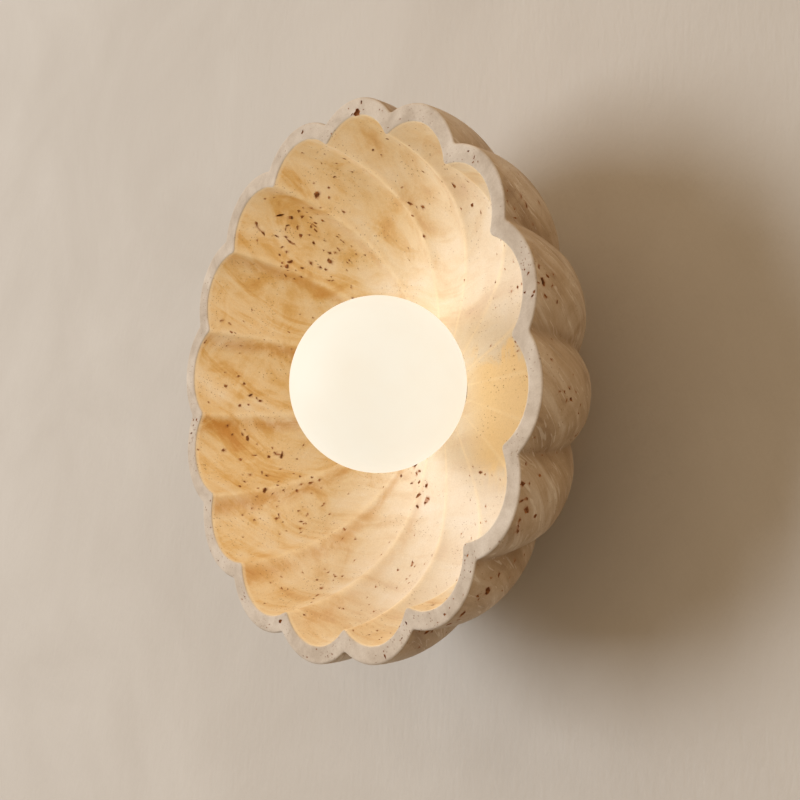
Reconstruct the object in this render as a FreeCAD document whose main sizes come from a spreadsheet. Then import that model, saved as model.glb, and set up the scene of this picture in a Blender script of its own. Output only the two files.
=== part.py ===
"""Flower-shaped wall lamp: a fluted travertine bowl with an opal glass globe.

Millimetres. The origin lies on the wall, on the lamp's axis. +Z is up, the wall is the plane Y = 0 and
the lamp stands out from it towards -Y. In the formulas below, a level is a distance from the wall.
"""
import FreeCAD, Part
import math
import os
import re

import Sketcher

SIZES = [
    # The carved stone bowl.
    ("rim_diameter", 295.0),
    ("rim_wall", 9.2),
    ("flute_count", 16),
    ("flute_depth", 11.3),
    ("bloom_turn", 3.8),
    ("bowl_depth", 76.5),
    ("floor_diameter", 89.0),
    ("wall_exponent", 1.36),
    ("floor_exponent", 4.6),
    ("back_reach", 22.7),
    ("side_exponent", 2.16),
    ("back_exponent", 1.23),
    ("foot_wall", 10.0),
    # The plates behind the stone and what joins them.
    ("gasket_thickness", 2.0),
    ("gasket_width", 6.0),
    ("gasket_inset", 2.0),
    ("plate_edge_gap", 3.0),
    ("plate_thickness", 2.0),
    ("cable_hole_diameter", 16.0),
    ("slot_spacing", 56.0),
    ("slot_width", 5.0),
    ("slot_length", 10.0),
    ("standoff_length", 11.0),
    ("standoff_across", 5.5),
    ("spigot_diameter", 4.0),
    ("spigot_short", 0.3),
    ("shade_plate_thickness", 2.0),
    ("pad_thickness", 1.0),
    ("pad_width", 16.0),
    ("insert_circle", 60.0),
    ("insert_diameter", 6.0),
    ("insert_length", 8.0),
    ("shade_screw_diameter", 4.0),
    ("shade_screw_head", 7.0),
    ("shade_screw_head_height", 2.2),
    ("shade_screw_length", 10.0),
    # The cup for the globe.
    ("neck_diameter", 32.0),
    ("neck_depth", 9.4),
    ("neck_clear", 1.1),
    ("thread_height", 1.1),
    ("thread_pitch", 5.0),
    ("thread_turns", 1.25),
    ("thread_width", 1.6),
    ("thread_crest", 0.8),
    ("thread_play", 0.4),
    ("thread_lead_in", 20.0),
    ("cup_wall", 1.3),
    ("cup_base", 1.0),
    ("cup_gap", 0.6),
    ("lip_below_floor", 0.6),
    ("cup_screw_diameter", 3.0),
    ("cup_screw_head", 5.5),
    ("cup_screw_head_height", 2.4),
    ("cup_screw_length", 10.0),
    ("head_gap", 0.35),
    # The glass globe and its seal.
    ("globe_diameter", 95.0),
    ("glass_thickness", 2.2),
    ("seal_section", 2.6),
    ("seal_gap", 0.3),
    ("seal_rest", 0.05),
    # The lampholder.
    ("holder_height", 17.0),
    ("pin_spacing", 9.0),
    ("pin_slot_width", 3.0),
    ("pin_slot_length", 5.0),
    ("pin_slot_depth", 12.0),
    ("contact_thickness", 0.4),
    ("contact_gap", 0.2),
    ("contact_height", 9.0),
    ("holder_screw_diameter", 2.5),
    ("holder_screw_head", 5.0),
    ("holder_screw_head_height", 1.6),
    ("holder_edge", 0.7),
    ("screw_play", 0.05),
    # The LED capsule.
    ("bulb_diameter", 16.0),
    ("bulb_base_length", 10.0),
    ("bulb_spigot_length", 3.0),
    ("bulb_length", 46.0),
    ("bulb_cover_wall", 0.8),
    ("bulb_cover_gap", 0.1),
    ("bulb_pin_length", 8.6),
    ("bulb_pin_wire", 0.8),
    ("bulb_pin_width", 2.6),
    ("column_width", 7.0),
    ("column_length", 28.0),
    ("chip_rows", 5),
    ("chip_width", 3.5),
    ("chip_length", 2.8),
    ("chip_thickness", 0.7),
    # The terminal block, the leads and the earth screw.
    ("pole_spacing", 9.2),
    ("block_length", 22.0),
    ("block_width", 13.0),
    ("block_height", 10.0),
    ("block_drop", 26.5),
    ("tube_diameter", 4.4),
    ("tube_bore", 2.8),
    ("terminal_screw_diameter", 2.4),
    ("terminal_screw_spacing", 6.4),
    ("terminal_screw_sink", 0.6),
    ("fixing_screw_diameter", 2.5),
    ("fixing_screw_head", 4.2),
    ("fixing_screw_head_height", 1.8),
    ("lead_diameter", 1.6),
    ("lead_entry", 4.0),
    ("lead_drop", 5.5),
    ("lead_port_depth", 3.0),
    ("grommet_diameter", 5.4),
    ("grommet_flange", 0.8),
    ("grommet_wall", 0.8),
    ("lead_gap", 0.2),
    ("earth_screw_x", -17.0),
    ("earth_screw_z", 20.0),
    ("earth_screw_diameter", 4.0),
    ("earth_screw_head", 7.0),
    ("earth_screw_head_height", 2.4),
    ("earth_washer_diameter", 9.0),
    ("earth_washer_thickness", 1.0),
    ("drive_share", 0.5),
]

doc = FreeCAD.newDocument("WallLamp")
sheet = doc.addObject("Spreadsheet::Sheet", "Sizes")
for row, (alias, number) in enumerate(SIZES, start=1):
    sheet.set("A%d" % row, alias)
    sheet.set("B%d" % row, str(number))
    sheet.setAlias("B%d" % row, alias)
doc.recompute()
ALIASES = {alias for alias, number in SIZES}


def expression(formula):
    """The formula with each size's name turned into its cell in the sheet."""
    return re.sub(r"[a-z_]+", lambda word: "Sizes." + word[0] if word[0] in ALIASES else word[0], formula)


def value(formula):
    return float(sheet.evalExpression(expression(formula)))


def bind(thing, prop, formula):
    thing.setExpression(prop, expression(formula))


# Levels and radii that several pieces share.
FOOT = "gasket_thickness"
DISC_BACK = "(plate_thickness + standoff_length)"
DISC_FRONT = "(plate_thickness + standoff_length + shade_plate_thickness)"
RECESS_FLOOR = "(%s + pad_thickness)" % DISC_FRONT
CUP_FLOOR = "(%s + cup_base)" % DISC_FRONT
NECK_END = "(%s + cup_screw_head_height + neck_clear)" % CUP_FLOOR
CUP_LIP = "(%s + neck_depth)" % NECK_END
FLOOR = "(%s + lip_below_floor)" % CUP_LIP
RIM = "(%s + bowl_depth)" % FLOOR
STONE_DEPTH = "(%s - %s)" % (RIM, FOOT)
HOLDER_FRONT = "(%s + holder_height)" % CUP_FLOOR
THREAD_START = "(%s + thread_width / 2 + thread_play)" % NECK_END
NECK_RADIUS = "(neck_diameter / 2)"
BORE_RADIUS = "(neck_diameter / 2 + thread_play)"
GROOVE_RADIUS = "(%s + thread_height)" % BORE_RADIUS
CUP_RADIUS = "(%s + cup_wall)" % GROOVE_RADIUS
SCREW_CIRCLE = "(%s - cup_screw_head / 2 - head_gap)" % BORE_RADIUS
HOLDER_RADIUS = "(%s - cup_screw_head / 2 - head_gap)" % SCREW_CIRCLE
HOLDER_SCREW_Z = "(%s - holder_screw_head / 2 - holder_edge)" % HOLDER_RADIUS
SEAL_RADIUS = "(%s + seal_section / 2 + seal_gap)" % NECK_RADIUS
SEAL_LEVEL = "(%s + seal_section / 2 + seal_rest)" % CUP_LIP
GLOBE_REACH = "(globe_diameter / 2 + seal_section / 2 + seal_gap)"
GLOBE_LEVEL = "(%s + sqrt(%s ^ 2 - %s ^ 2))" % (SEAL_LEVEL, GLOBE_REACH, SEAL_RADIUS)
LEAD_X = "(pole_spacing / 2)"
LEAD_Z = "(-lead_drop)"
LEAD_END = "(%s + lead_port_depth)" % CUP_FLOOR
GROMMET_RADIUS = "(lead_diameter / 2 + lead_gap + grommet_wall)"
GROMMET_SINK = "(grommet_diameter / 2 + screw_play)"
TUBE_LEVEL = "(plate_thickness + block_height / 2)"
FIXING_SEAT = TUBE_LEVEL
CONTACT_LEVEL = "(%s - pin_slot_depth)" % HOLDER_FRONT

# Angles, seen from the room, of what comes in threes: one at the top and two below.
THREE_ANGLES = (90, 210, 330)


def on_circle(radius, angle):
    """The x and z formulas of a point at that angle on a circle round the lamp's axis."""
    turn = math.radians(angle)
    return "(%s * %.9f)" % (radius, math.cos(turn)), "(%s * %.9f)" % (radius, math.sin(turn))


# Part primitives along the lamp's axis.
FORWARD = FreeCAD.Rotation(FreeCAD.Vector(1, 0, 0), 90)


def place(thing, level, x="0", z="0"):
    thing.Placement = FreeCAD.Placement(FreeCAD.Vector(0, 0, 0), FORWARD)
    bind(thing, "Placement.Base.x", x)
    bind(thing, "Placement.Base.y", "-(%s)" % level)
    bind(thing, "Placement.Base.z", z)


def rod(name, radius, level, length, x="0", z="0"):
    """A round bar that starts at a level and runs away from the wall."""
    bar = doc.addObject("Part::Cylinder", name)
    bind(bar, "Radius", radius)
    bind(bar, "Height", length)
    place(bar, level, x, z)
    return bar


def hexagon(name, across, level, length, x="0", z="0"):
    bar = doc.addObject("Part::Prism", name)
    bar.Polygon = 6
    bind(bar, "Circumradius", "(%s) / sqrt(3)" % across)
    bind(bar, "Height", length)
    place(bar, level, x, z)
    return bar


def block(name, wide, high, level, length, x="0", z="0"):
    """A square-edged bar, wide along X and high along Z, about the axis at x and z."""
    bar = doc.addObject("Part::Box", name)
    bind(bar, "Length", wide)
    bind(bar, "Width", high)
    bind(bar, "Height", length)
    place(bar, level, "%s - (%s) / 2" % (x, wide), "%s - (%s) / 2" % (z, high))
    return bar


def cut(name, base, tool):
    piece = doc.addObject("Part::Cut", name)
    piece.Base = base
    piece.Tool = tool
    return piece


def fuse(name, shapes):
    piece = doc.addObject("Part::MultiFuse", name)
    piece.Shapes = shapes
    return piece


def group(name, shapes):
    piece = doc.addObject("Part::Compound", name)
    piece.Links = shapes
    return piece


def screw(name, head, head_height, shank, shank_length, seat, x="0", z="0", head_behind=False):
    """A socket screw whose head seats at a level, with its shank through what it holds."""
    if head_behind:
        head_level = "%s - %s" % (seat, head_height)
        socket_level = head_level
        shank_level = seat
    else:
        head_level = seat
        socket_level = "%s + %s * (1 - drive_share)" % (seat, head_height)
        shank_level = "%s - %s" % (seat, shank_length)
    cap = rod(name + "_cap", "%s / 2" % head, head_level, head_height, x, z)
    drive = "%s * drive_share" % head
    socket = hexagon(name + "_socket", drive, socket_level, "%s * drive_share" % head_height, x, z)
    shaft = rod(name + "_shaft", "%s / 2" % shank, shank_level, shank_length, x, z)
    return fuse(name, [cut(name + "_head", cap, socket), shaft])


# Sketches and bodies.
def new_body(name):
    return doc.addObject("PartDesign::Body", name)


def origin_feature(body, role):
    return next(item for item in body.Origin.OriginFeatures if item.Role == role)


def new_sketch(body, name, plane, offset="0"):
    sketch = body.newObject("Sketcher::SketchObject", name)
    sketch.AttachmentSupport = (origin_feature(body, plane), [""])
    sketch.MapMode = "FlatFace"
    bind(sketch, "AttachmentOffset.Base.z", offset)
    return sketch


def hold_point(sketch, edge, end, x, y):
    """Ties an edge's end or centre to two formulas."""
    for kind, formula in (("DistanceX", x), ("DistanceY", y)):
        index = sketch.addConstraint(Sketcher.Constraint(kind, edge, end, value(formula)))
        sketch.setExpression("Constraints[%d]" % index, expression(formula))


def hold_radius(sketch, edge, formula):
    index = sketch.addConstraint(Sketcher.Constraint("Radius", edge, value(formula)))
    sketch.setExpression("Constraints[%d]" % index, expression(formula))


def draw_outline(sketch, corners):
    """A closed outline with straight sides through corners given as formulas."""
    points = [FreeCAD.Vector(value(x), value(y), 0) for x, y in corners]
    first = sketch.GeometryCount
    for start, end in zip(points, points[1:] + points[:1]):
        sketch.addGeometry(Part.LineSegment(start, end), False)
    for step, (x, y) in enumerate(corners):
        follower = first + step
        leader = first + (step - 1) % len(corners)
        sketch.addConstraint(Sketcher.Constraint("Coincident", leader, 2, follower, 1))
        hold_point(sketch, follower, 1, x, y)


def draw_circle(sketch, x, y, radius):
    middle = FreeCAD.Vector(value(x), value(y), 0)
    edge = sketch.addGeometry(Part.Circle(middle, FreeCAD.Vector(0, 0, 1), value(radius)), False)
    hold_point(sketch, edge, 3, x, y)
    hold_radius(sketch, edge, radius)


def draw_slot(sketch, x, y, length, width):
    """A round-ended slot along the sketch's X."""
    reach = "((%s - %s) / 2)" % (length, width)
    radius = "(%s / 2)" % width
    up = FreeCAD.Vector(0, 0, 1)
    ends = {}
    for side, start in ((1, -math.pi / 2), (-1, math.pi / 2)):
        middle_x = "(%s + %d * %s)" % (x, side, reach)
        circle = Part.Circle(FreeCAD.Vector(value(middle_x), value(y), 0), up, value(radius))
        ends[side] = sketch.addGeometry(Part.ArcOfCircle(circle, start, start + math.pi), False)
        hold_point(sketch, ends[side], 3, middle_x, y)
        hold_radius(sketch, ends[side], radius)
    for leader, follower in ((1, -1), (-1, 1)):
        start = sketch.getPoint(ends[leader], 2)
        end = sketch.getPoint(ends[follower], 1)
        line = sketch.addGeometry(Part.LineSegment(start, end), False)
        sketch.addConstraint(Sketcher.Constraint("Tangent", ends[leader], 2, line, 1))
        sketch.addConstraint(Sketcher.Constraint("Tangent", line, 2, ends[follower], 1))


def pad(body, name, sketch, length):
    feature = body.newObject("PartDesign::Pad", name)
    feature.Profile = sketch
    bind(feature, "Length", length)
    return feature


def pocket(body, name, sketch, length=None, forward=False):
    """A cut from the sketch towards the wall, or forward, and right through where no length is given."""
    doc.recompute()
    before = body.Shape.Volume
    feature = body.newObject("PartDesign::Pocket", name)
    feature.Profile = sketch
    feature.Reversed = forward
    if length is None:
        feature.Type = "ThroughAll"
    else:
        bind(feature, "Length", length)
    doc.recompute()
    if body.Shape.Volume >= before:
        raise RuntimeError(name + " cuts nothing")
    return feature


def turn(body, name, corners):
    """A solid turned about the lamp's axis from corners given as radius and level."""
    sketch = new_sketch(body, name + "_profile", "XY_Plane")
    draw_outline(sketch, [(radius, "-(%s)" % level) for radius, level in corners])
    feature = body.newObject("PartDesign::Revolution", name)
    feature.Profile = sketch
    feature.ReferenceAxis = (sketch, ["V_Axis"])
    feature.Angle = 360
    return feature


def helix(body, kind, name, inner, outer, root, crest, turns, lead_in="0"):
    """A right-hand thread that winds away from the wall, by its radii and its widths."""
    level = "(%s + thread_pitch * %s / 360)" % (THREAD_START, lead_in)
    sketch = new_sketch(body, name + "_profile", "XY_Plane")
    start_turn = FreeCAD.Rotation(FreeCAD.Vector(0, -1, 0), value(lead_in))
    sketch.AttachmentOffset = FreeCAD.Placement(FreeCAD.Vector(0, 0, 0), start_turn)
    back = ("-(%s - (%s) / 2)" % (level, root), "-(%s - (%s) / 2)" % (level, crest))
    front = ("-(%s + (%s) / 2)" % (level, root), "-(%s + (%s) / 2)" % (level, crest))
    draw_outline(sketch, [(inner, back[0]), (outer, back[1]), (outer, front[1]), (inner, front[0])])
    doc.recompute()
    feature = body.newObject(kind, name)
    feature.Profile = sketch
    feature.ReferenceAxis = (sketch, ["V_Axis"])
    feature.Mode = "pitch-turns-angle"
    bind(feature, "Pitch", "thread_pitch")
    bind(feature, "Turns", turns)
    feature.Reversed = True
    return feature


# The travertine bowl: two lofts through scaled copies of one scalloped outline.
SECTIONS = 7


def flute_arc():
    """Half the angle of a flute, the radius of its arc and the radius its middle lies on."""
    half = math.pi / value("flute_count")
    tip = value("rim_diameter / 2 - rim_wall")
    cusp = tip - value("flute_depth")
    middle = (tip ** 2 - cusp ** 2) / (2 * (tip - cusp * math.cos(half)))
    return half, tip - middle, middle


def scallop(name, level, scale, wall):
    """The bowl's outline at a level: one arc for each flute, scaled about the axis."""
    half, arc, middle = flute_arc()
    arc += wall
    tip = scale * (middle + arc)
    cusp = scale * (middle * math.cos(half) + math.sqrt(arc ** 2 - (middle * math.sin(half)) ** 2))

    def at(radius, angle):
        return FreeCAD.Vector(-radius * math.sin(angle), -level, radius * math.cos(angle))

    edges = []
    for flute in range(int(value("flute_count"))):
        start = math.radians(value("bloom_turn")) + 2 * half * flute
        edges.append(Part.Arc(at(cusp, start), at(tip, start + half), at(cusp, start + 2 * half)).toShape())
    outline = doc.addObject("Part::Feature", name)
    outline.Shape = Part.Wire(edges)
    return outline


def curve_stations(reach, side, end, last_turn):
    """Depths and scales along the curve scale^end + (depth / reach)^side = 1."""
    stations = []
    for step in range(SECTIONS):
        turned = last_turn * step / (SECTIONS - 1)
        stations.append((reach * math.sin(turned) ** (2 / side), math.cos(turned) ** (2 / end)))
    return stations


def outer_stations():
    reach = value("%s + back_reach" % STONE_DEPTH)
    last_turn = math.asin((value(STONE_DEPTH) / reach) ** value("side_exponent / 2"))
    return curve_stations(reach, value("side_exponent"), value("back_exponent"), last_turn)


def inner_stations():
    half, arc, middle = flute_arc()
    cusp_diameter = 2 * (middle + arc - value("flute_depth"))
    last_turn = math.acos((value("floor_diameter") / cusp_diameter) ** value("floor_exponent / 2"))
    reach = value("bowl_depth") / math.sin(last_turn) ** value("2 / wall_exponent")
    return curve_stations(reach, value("wall_exponent"), value("floor_exponent"), last_turn)


def fluted_solid(name, stations, wall, overrun):
    """A loft from the rim inwards that may start in front of it, so that it cuts the rim clean."""
    sections = []
    if overrun:
        sections.append(scallop(name + "_over", value(RIM) + overrun, 1.0, wall))
    for step, (depth, scale) in enumerate(stations):
        sections.append(scallop("%s_%d" % (name, step), value(RIM) - depth, scale, wall))
    loft = doc.addObject("Part::Loft", name)
    loft.Sections = sections
    loft.Solid = True
    return loft


def foot_notch_radius():
    """The stone's smallest radius where its foot meets the gasket."""
    half, arc, middle = flute_arc()
    arc += value("rim_wall")
    notch = middle * math.cos(half) + math.sqrt(arc ** 2 - (middle * math.sin(half)) ** 2)
    return notch * outer_stations()[-1][1]


# The recess behind the stone leaves a wall of the given thickness inside the foot's notches.
RECESS_RADIUS = "(%.6f - foot_wall)" % foot_notch_radius()


def travertine_bowl():
    block_of_stone = fluted_solid("bowl_outside", outer_stations(), value("rim_wall"), 0)
    hollow = fluted_solid("bowl_inside", inner_stations(), 0.0, value("rim_wall"))
    recess = rod("bowl_recess", RECESS_RADIUS, FOOT, "%s - %s" % (RECESS_FLOOR, FOOT))
    hole = rod("bowl_hole", "%s + cup_gap" % CUP_RADIUS, FOOT, STONE_DEPTH)
    tools = [hollow, recess, hole]
    for angle in THREE_ANGLES:
        x, z = on_circle("insert_circle / 2", angle)
        name = "bowl_insert_hole_%d" % angle
        tools.append(rod(name, "insert_diameter / 2 + screw_play", RECESS_FLOOR, "insert_length", x, z))
    return cut("travertine_bowl", block_of_stone, fuse("bowl_tools", tools))


def ring(name, inner, outer, level, length):
    bore = rod(name + "_bore", inner, level, length)
    return cut(name, rod(name + "_outside", outer, level, length), bore)


def wall_gasket():
    inner = "(%s + gasket_inset)" % RECESS_RADIUS
    return ring("wall_gasket", inner, "%s + gasket_width" % inner, "0", "gasket_thickness")


def wall_plate():
    body = new_body("wall_plate")
    disc = new_sketch(body, "wall_plate_outline", "XZ_Plane")
    draw_circle(disc, "0", "0", "%s - plate_edge_gap" % RECESS_RADIUS)
    draw_circle(disc, "0", "0", "cable_hole_diameter / 2")
    for side in (-1, 1):
        draw_slot(disc, "(%d * slot_spacing / 2)" % side, "0", "slot_length", "slot_width")
    for angle in THREE_ANGLES:
        draw_circle(disc, *on_circle(SCREW_CIRCLE, angle), "spigot_diameter / 2 + screw_play")
    draw_circle(disc, "0", "-block_drop", "fixing_screw_diameter / 2 + screw_play")
    draw_circle(disc, "earth_screw_x", "earth_screw_z", "earth_screw_diameter / 2 + screw_play")
    pad(body, "wall_plate_disc", disc, "plate_thickness")
    return body


def standoffs():
    pillars = []
    for angle in THREE_ANGLES:
        x, z = on_circle(SCREW_CIRCLE, angle)
        name = "standoff_%d" % angle
        pillar = hexagon(name + "_pillar", "standoff_across", "plate_thickness", "standoff_length", x, z)
        spigot_length = "plate_thickness - spigot_short"
        spigot = rod(name + "_spigot", "spigot_diameter / 2", "spigot_short", spigot_length, x, z)
        bore_radius = "cup_screw_diameter / 2 + screw_play"
        bore = rod(name + "_bore", bore_radius, "0", DISC_BACK, x, z)
        pillars.append(cut(name, fuse(name + "_solid", [pillar, spigot]), bore))
    return group("standoffs", pillars)


def shade_plate():
    body = new_body("shade_plate")
    disc = new_sketch(body, "shade_plate_outline", "XZ_Plane", DISC_BACK)
    draw_circle(disc, "0", "0", "%s - plate_edge_gap" % RECESS_RADIUS)
    for angle in THREE_ANGLES:
        draw_circle(disc, *on_circle(SCREW_CIRCLE, angle), "cup_screw_diameter / 2 + screw_play")
        draw_circle(disc, *on_circle("insert_circle / 2", angle), "shade_screw_diameter / 2 + screw_play")
    for side in (-1, 1):
        draw_circle(disc, "(%d * %s)" % (side, LEAD_X), LEAD_Z, GROMMET_SINK)
    pad(body, "shade_plate_disc", disc, "shade_plate_thickness")
    return body


def shade_pad():
    inner = "(%s - plate_edge_gap - pad_width)" % RECESS_RADIUS
    foam = ring("shade_pad_ring", inner, "%s + pad_width" % inner, DISC_FRONT, "pad_thickness")
    holes = []
    for angle in THREE_ANGLES:
        x, z = on_circle("insert_circle / 2", angle)
        name = "shade_pad_hole_%d" % angle
        holes.append(rod(name, "shade_screw_diameter / 2 + screw_play", DISC_FRONT, "pad_thickness", x, z))
    return cut("shade_pad", foam, fuse("shade_pad_holes", holes))


def stone_inserts():
    sleeves = []
    for angle in THREE_ANGLES:
        x, z = on_circle("insert_circle / 2", angle)
        name = "stone_insert_%d" % angle
        outside = rod(name + "_outside", "insert_diameter / 2", RECESS_FLOOR, "insert_length", x, z)
        bore_radius = "shade_screw_diameter / 2 + screw_play"
        bore = rod(name + "_bore", bore_radius, RECESS_FLOOR, "insert_length", x, z)
        sleeves.append(cut(name, outside, bore))
    return group("stone_inserts", sleeves)


def shade_screws():
    screws = []
    for angle in THREE_ANGLES:
        x, z = on_circle("insert_circle / 2", angle)
        screws.append(screw("shade_screw_%d" % angle, "shade_screw_head", "shade_screw_head_height",
                            "shade_screw_diameter", "shade_screw_length", DISC_BACK, x, z, head_behind=True))
    return group("shade_screws", screws)


def globe_cup():
    body = new_body("globe_cup")
    turn(body, "globe_cup_shell", [("0", DISC_FRONT), (CUP_RADIUS, DISC_FRONT), (CUP_RADIUS, CUP_LIP),
                                   (BORE_RADIUS, CUP_LIP), (BORE_RADIUS, CUP_FLOOR), ("0", CUP_FLOOR)])
    holes = new_sketch(body, "globe_cup_hole_outlines", "XZ_Plane", CUP_FLOOR)
    for angle in THREE_ANGLES:
        draw_circle(holes, *on_circle(SCREW_CIRCLE, angle), "cup_screw_diameter / 2 + screw_play")
    for side in (-1, 1):
        draw_circle(holes, "(%d * %s)" % (side, LEAD_X), LEAD_Z, GROMMET_RADIUS)
        screw_z = "(%d * %s)" % (side, HOLDER_SCREW_Z)
        draw_circle(holes, "0", screw_z, "holder_screw_diameter / 2 + screw_play")
    pocket(body, "globe_cup_holes", holes)
    helix(body, "PartDesign::SubtractiveHelix", "globe_cup_thread", "(%s - thread_play)" % BORE_RADIUS,
          GROOVE_RADIUS, "thread_width + 2 * thread_play", "thread_crest + 2 * thread_play",
          "thread_turns + 1")
    return body


def cup_screws():
    screws = []
    for angle in THREE_ANGLES:
        x, z = on_circle(SCREW_CIRCLE, angle)
        screws.append(screw("cup_screw_%d" % angle, "cup_screw_head", "cup_screw_head_height",
                            "cup_screw_diameter", "cup_screw_length", CUP_FLOOR, x, z))
    return group("cup_screws", screws)


def lead_grommets():
    grommets = []
    for side in (-1, 1):
        x = "(%d * %s)" % (side, LEAD_X)
        name = "lead_grommet_%s" % ("right" if side > 0 else "left")
        back = "(%s - grommet_flange)" % DISC_FRONT
        length = "(cup_base + 2 * grommet_flange)"
        waist = rod(name + "_waist", GROMMET_RADIUS + " - screw_play", back, length, x, LEAD_Z)
        flange_radius = "(grommet_diameter / 2)"
        rear = rod(name + "_rear", flange_radius, back, "grommet_flange", x, LEAD_Z)
        front = rod(name + "_front", flange_radius, CUP_FLOOR, "grommet_flange", x, LEAD_Z)
        bore = rod(name + "_bore", "lead_diameter / 2 + lead_gap", back, length, x, LEAD_Z)
        grommets.append(cut(name, fuse(name + "_solid", [waist, rear, front]), bore))
    return group("lead_grommets", grommets)


def lamp_holder():
    body = new_body("lamp_holder")
    disc = new_sketch(body, "lamp_holder_outline", "XZ_Plane", CUP_FLOOR)
    draw_circle(disc, "0", "0", HOLDER_RADIUS)
    pad(body, "lamp_holder_body", disc, "holder_height")
    slots = new_sketch(body, "pin_slot_outlines", "XZ_Plane", HOLDER_FRONT)
    for side in (-1, 1):
        left = "(%d * pin_spacing / 2 - pin_slot_width / 2)" % side
        right = "(%d * pin_spacing / 2 + pin_slot_width / 2)" % side
        low, high = "(-pin_slot_length / 2)", "(pin_slot_length / 2)"
        draw_outline(slots, [(left, low), (right, low), (right, high), (left, high)])
    pocket(body, "pin_slots", slots, "pin_slot_depth")
    heads = new_sketch(body, "screw_sink_outlines", "XZ_Plane", HOLDER_FRONT)
    shanks = new_sketch(body, "screw_hole_outlines", "XZ_Plane", HOLDER_FRONT)
    for side in (-1, 1):
        screw_z = "(%d * %s)" % (side, HOLDER_SCREW_Z)
        draw_circle(heads, "0", screw_z, "holder_screw_head / 2 + screw_play")
        draw_circle(shanks, "0", screw_z, "holder_screw_diameter / 2 + screw_play")
    pocket(body, "screw_sinks", heads, "holder_screw_head_height")
    pocket(body, "screw_holes", shanks)
    sinks = new_sketch(body, "grommet_sink_outlines", "XZ_Plane", CUP_FLOOR)
    ports = new_sketch(body, "lead_port_outlines", "XZ_Plane", CUP_FLOOR)
    for side in (-1, 1):
        x = "(%d * %s)" % (side, LEAD_X)
        draw_circle(sinks, x, LEAD_Z, GROMMET_SINK)
        draw_circle(ports, x, LEAD_Z, "lead_diameter / 2 + lead_gap")
    pocket(body, "grommet_sinks", sinks, "grommet_flange + lead_gap", forward=True)
    pocket(body, "lead_ports", ports, "lead_port_depth", forward=True)
    return body


def holder_contacts():
    clips = []
    for side in (-1, 1):
        x = "(%d * pin_spacing / 2)" % side
        name = "holder_contact_%s" % ("right" if side > 0 else "left")
        wide = "(pin_slot_width - 2 * contact_gap)"
        high = "(pin_slot_length - 2 * contact_gap)"
        inner = "(%s - 2 * contact_thickness)" % wide
        spring = block(name + "_spring", wide, high, CONTACT_LEVEL, "contact_height", x)
        gap_level = "(%s + contact_thickness)" % CONTACT_LEVEL
        gap = block(name + "_gap", inner, high, gap_level, "contact_height", x)
        clips.append(cut(name, spring, gap))
    return group("holder_contacts", clips)


def holder_screws():
    screws = []
    seat = "(%s - holder_screw_head_height)" % HOLDER_FRONT
    length = "(%s - %s)" % (seat, DISC_FRONT)
    for side in (-1, 1):
        name = "holder_screw_%s" % ("upper" if side > 0 else "lower")
        screws.append(screw(name, "holder_screw_head", "holder_screw_head_height", "holder_screw_diameter",
                            length, seat, "0", "(%d * %s)" % (side, HOLDER_SCREW_Z)))
    return group("holder_screws", screws)


def bent_wire(name, points, bends, radius):
    """A wire through points, with an arc of its own radius at each corner between them."""
    edges = []
    start = points[0]
    for corner, following, bend in zip(points[1:], points[2:], bends):
        before = (corner - start).normalize()
        after = (following - corner).normalize()
        reach = bend * math.tan(before.getAngle(after) / 2)
        entry = corner - before * reach
        leave = corner + after * reach
        inward = (after - before).normalize()
        middle = corner + inward * (math.hypot(reach, bend) - bend)
        if (entry - start).Length > radius / 100:
            edges.append(Part.LineSegment(start, entry).toShape())
        edges.append(Part.Arc(entry, middle, leave).toShape())
        start = leave
    edges.append(Part.LineSegment(start, points[-1]).toShape())
    path = Part.Wire(edges)
    heading = points[1] - points[0]
    section = Part.Wire([Part.Circle(points[0], heading, radius).toShape()])
    wire = path.makePipeShell([section], True, False)
    expected = math.pi * radius ** 2 * path.Length
    if abs(wire.Volume - expected) > expected / 100:
        raise RuntimeError(name + " isn't a clean tube")
    return wire


# The largest arc at a corner uses this share of its shorter run.
BEND_SHARE = 0.45


def lead(label, side):
    """An inner lead: up from the terminal, then forward through the cup's base into the holder."""
    x = side * value(LEAD_X)
    start_z = value("-block_drop + block_width / 2 - lead_entry")
    points = [FreeCAD.Vector(x, -value(TUBE_LEVEL), start_z),
              FreeCAD.Vector(x, -value(TUBE_LEVEL), value(LEAD_Z)),
              FreeCAD.Vector(x, -value(LEAD_END), value(LEAD_Z))]
    runs = [(end - begin).Length for begin, end in zip(points, points[1:])]
    bends = [BEND_SHARE * min(pair) for pair in zip(runs, runs[1:])]
    piece = doc.addObject("Part::Feature", label)
    piece.Shape = bent_wire(label, points, bends, value("lead_diameter / 2"))
    return piece


def terminal_block():
    outside = block("terminal_case", "block_length", "block_width", "plate_thickness", "block_height",
                    "0", "-block_drop")
    tools = [rod("terminal_fixing_hole", "fixing_screw_diameter / 2 + screw_play", "plate_thickness",
                 "block_height", "0", "-block_drop"),
             rod("terminal_fixing_sink", "fixing_screw_head / 2 + screw_play", FIXING_SEAT,
                 "block_height", "0", "-block_drop")]
    for pole, x in terminal_poles():
        channel = doc.addObject("Part::Cylinder", "terminal_channel_%d" % pole)
        bind(channel, "Radius", "tube_diameter / 2 + screw_play")
        bind(channel, "Height", "block_width")
        bind(channel, "Placement.Base.x", x)
        bind(channel, "Placement.Base.y", "-" + TUBE_LEVEL)
        bind(channel, "Placement.Base.z", "-block_drop - block_width / 2")
        tools.append(channel)
        for row, z in terminal_rows():
            name = "terminal_shaft_%d_%d" % (pole, row)
            radius = "terminal_screw_diameter / 2 + screw_play"
            tools.append(rod(name, radius, TUBE_LEVEL, "block_height", x, z))
    return cut("terminal_block", outside, fuse("terminal_tools", tools))


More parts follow.
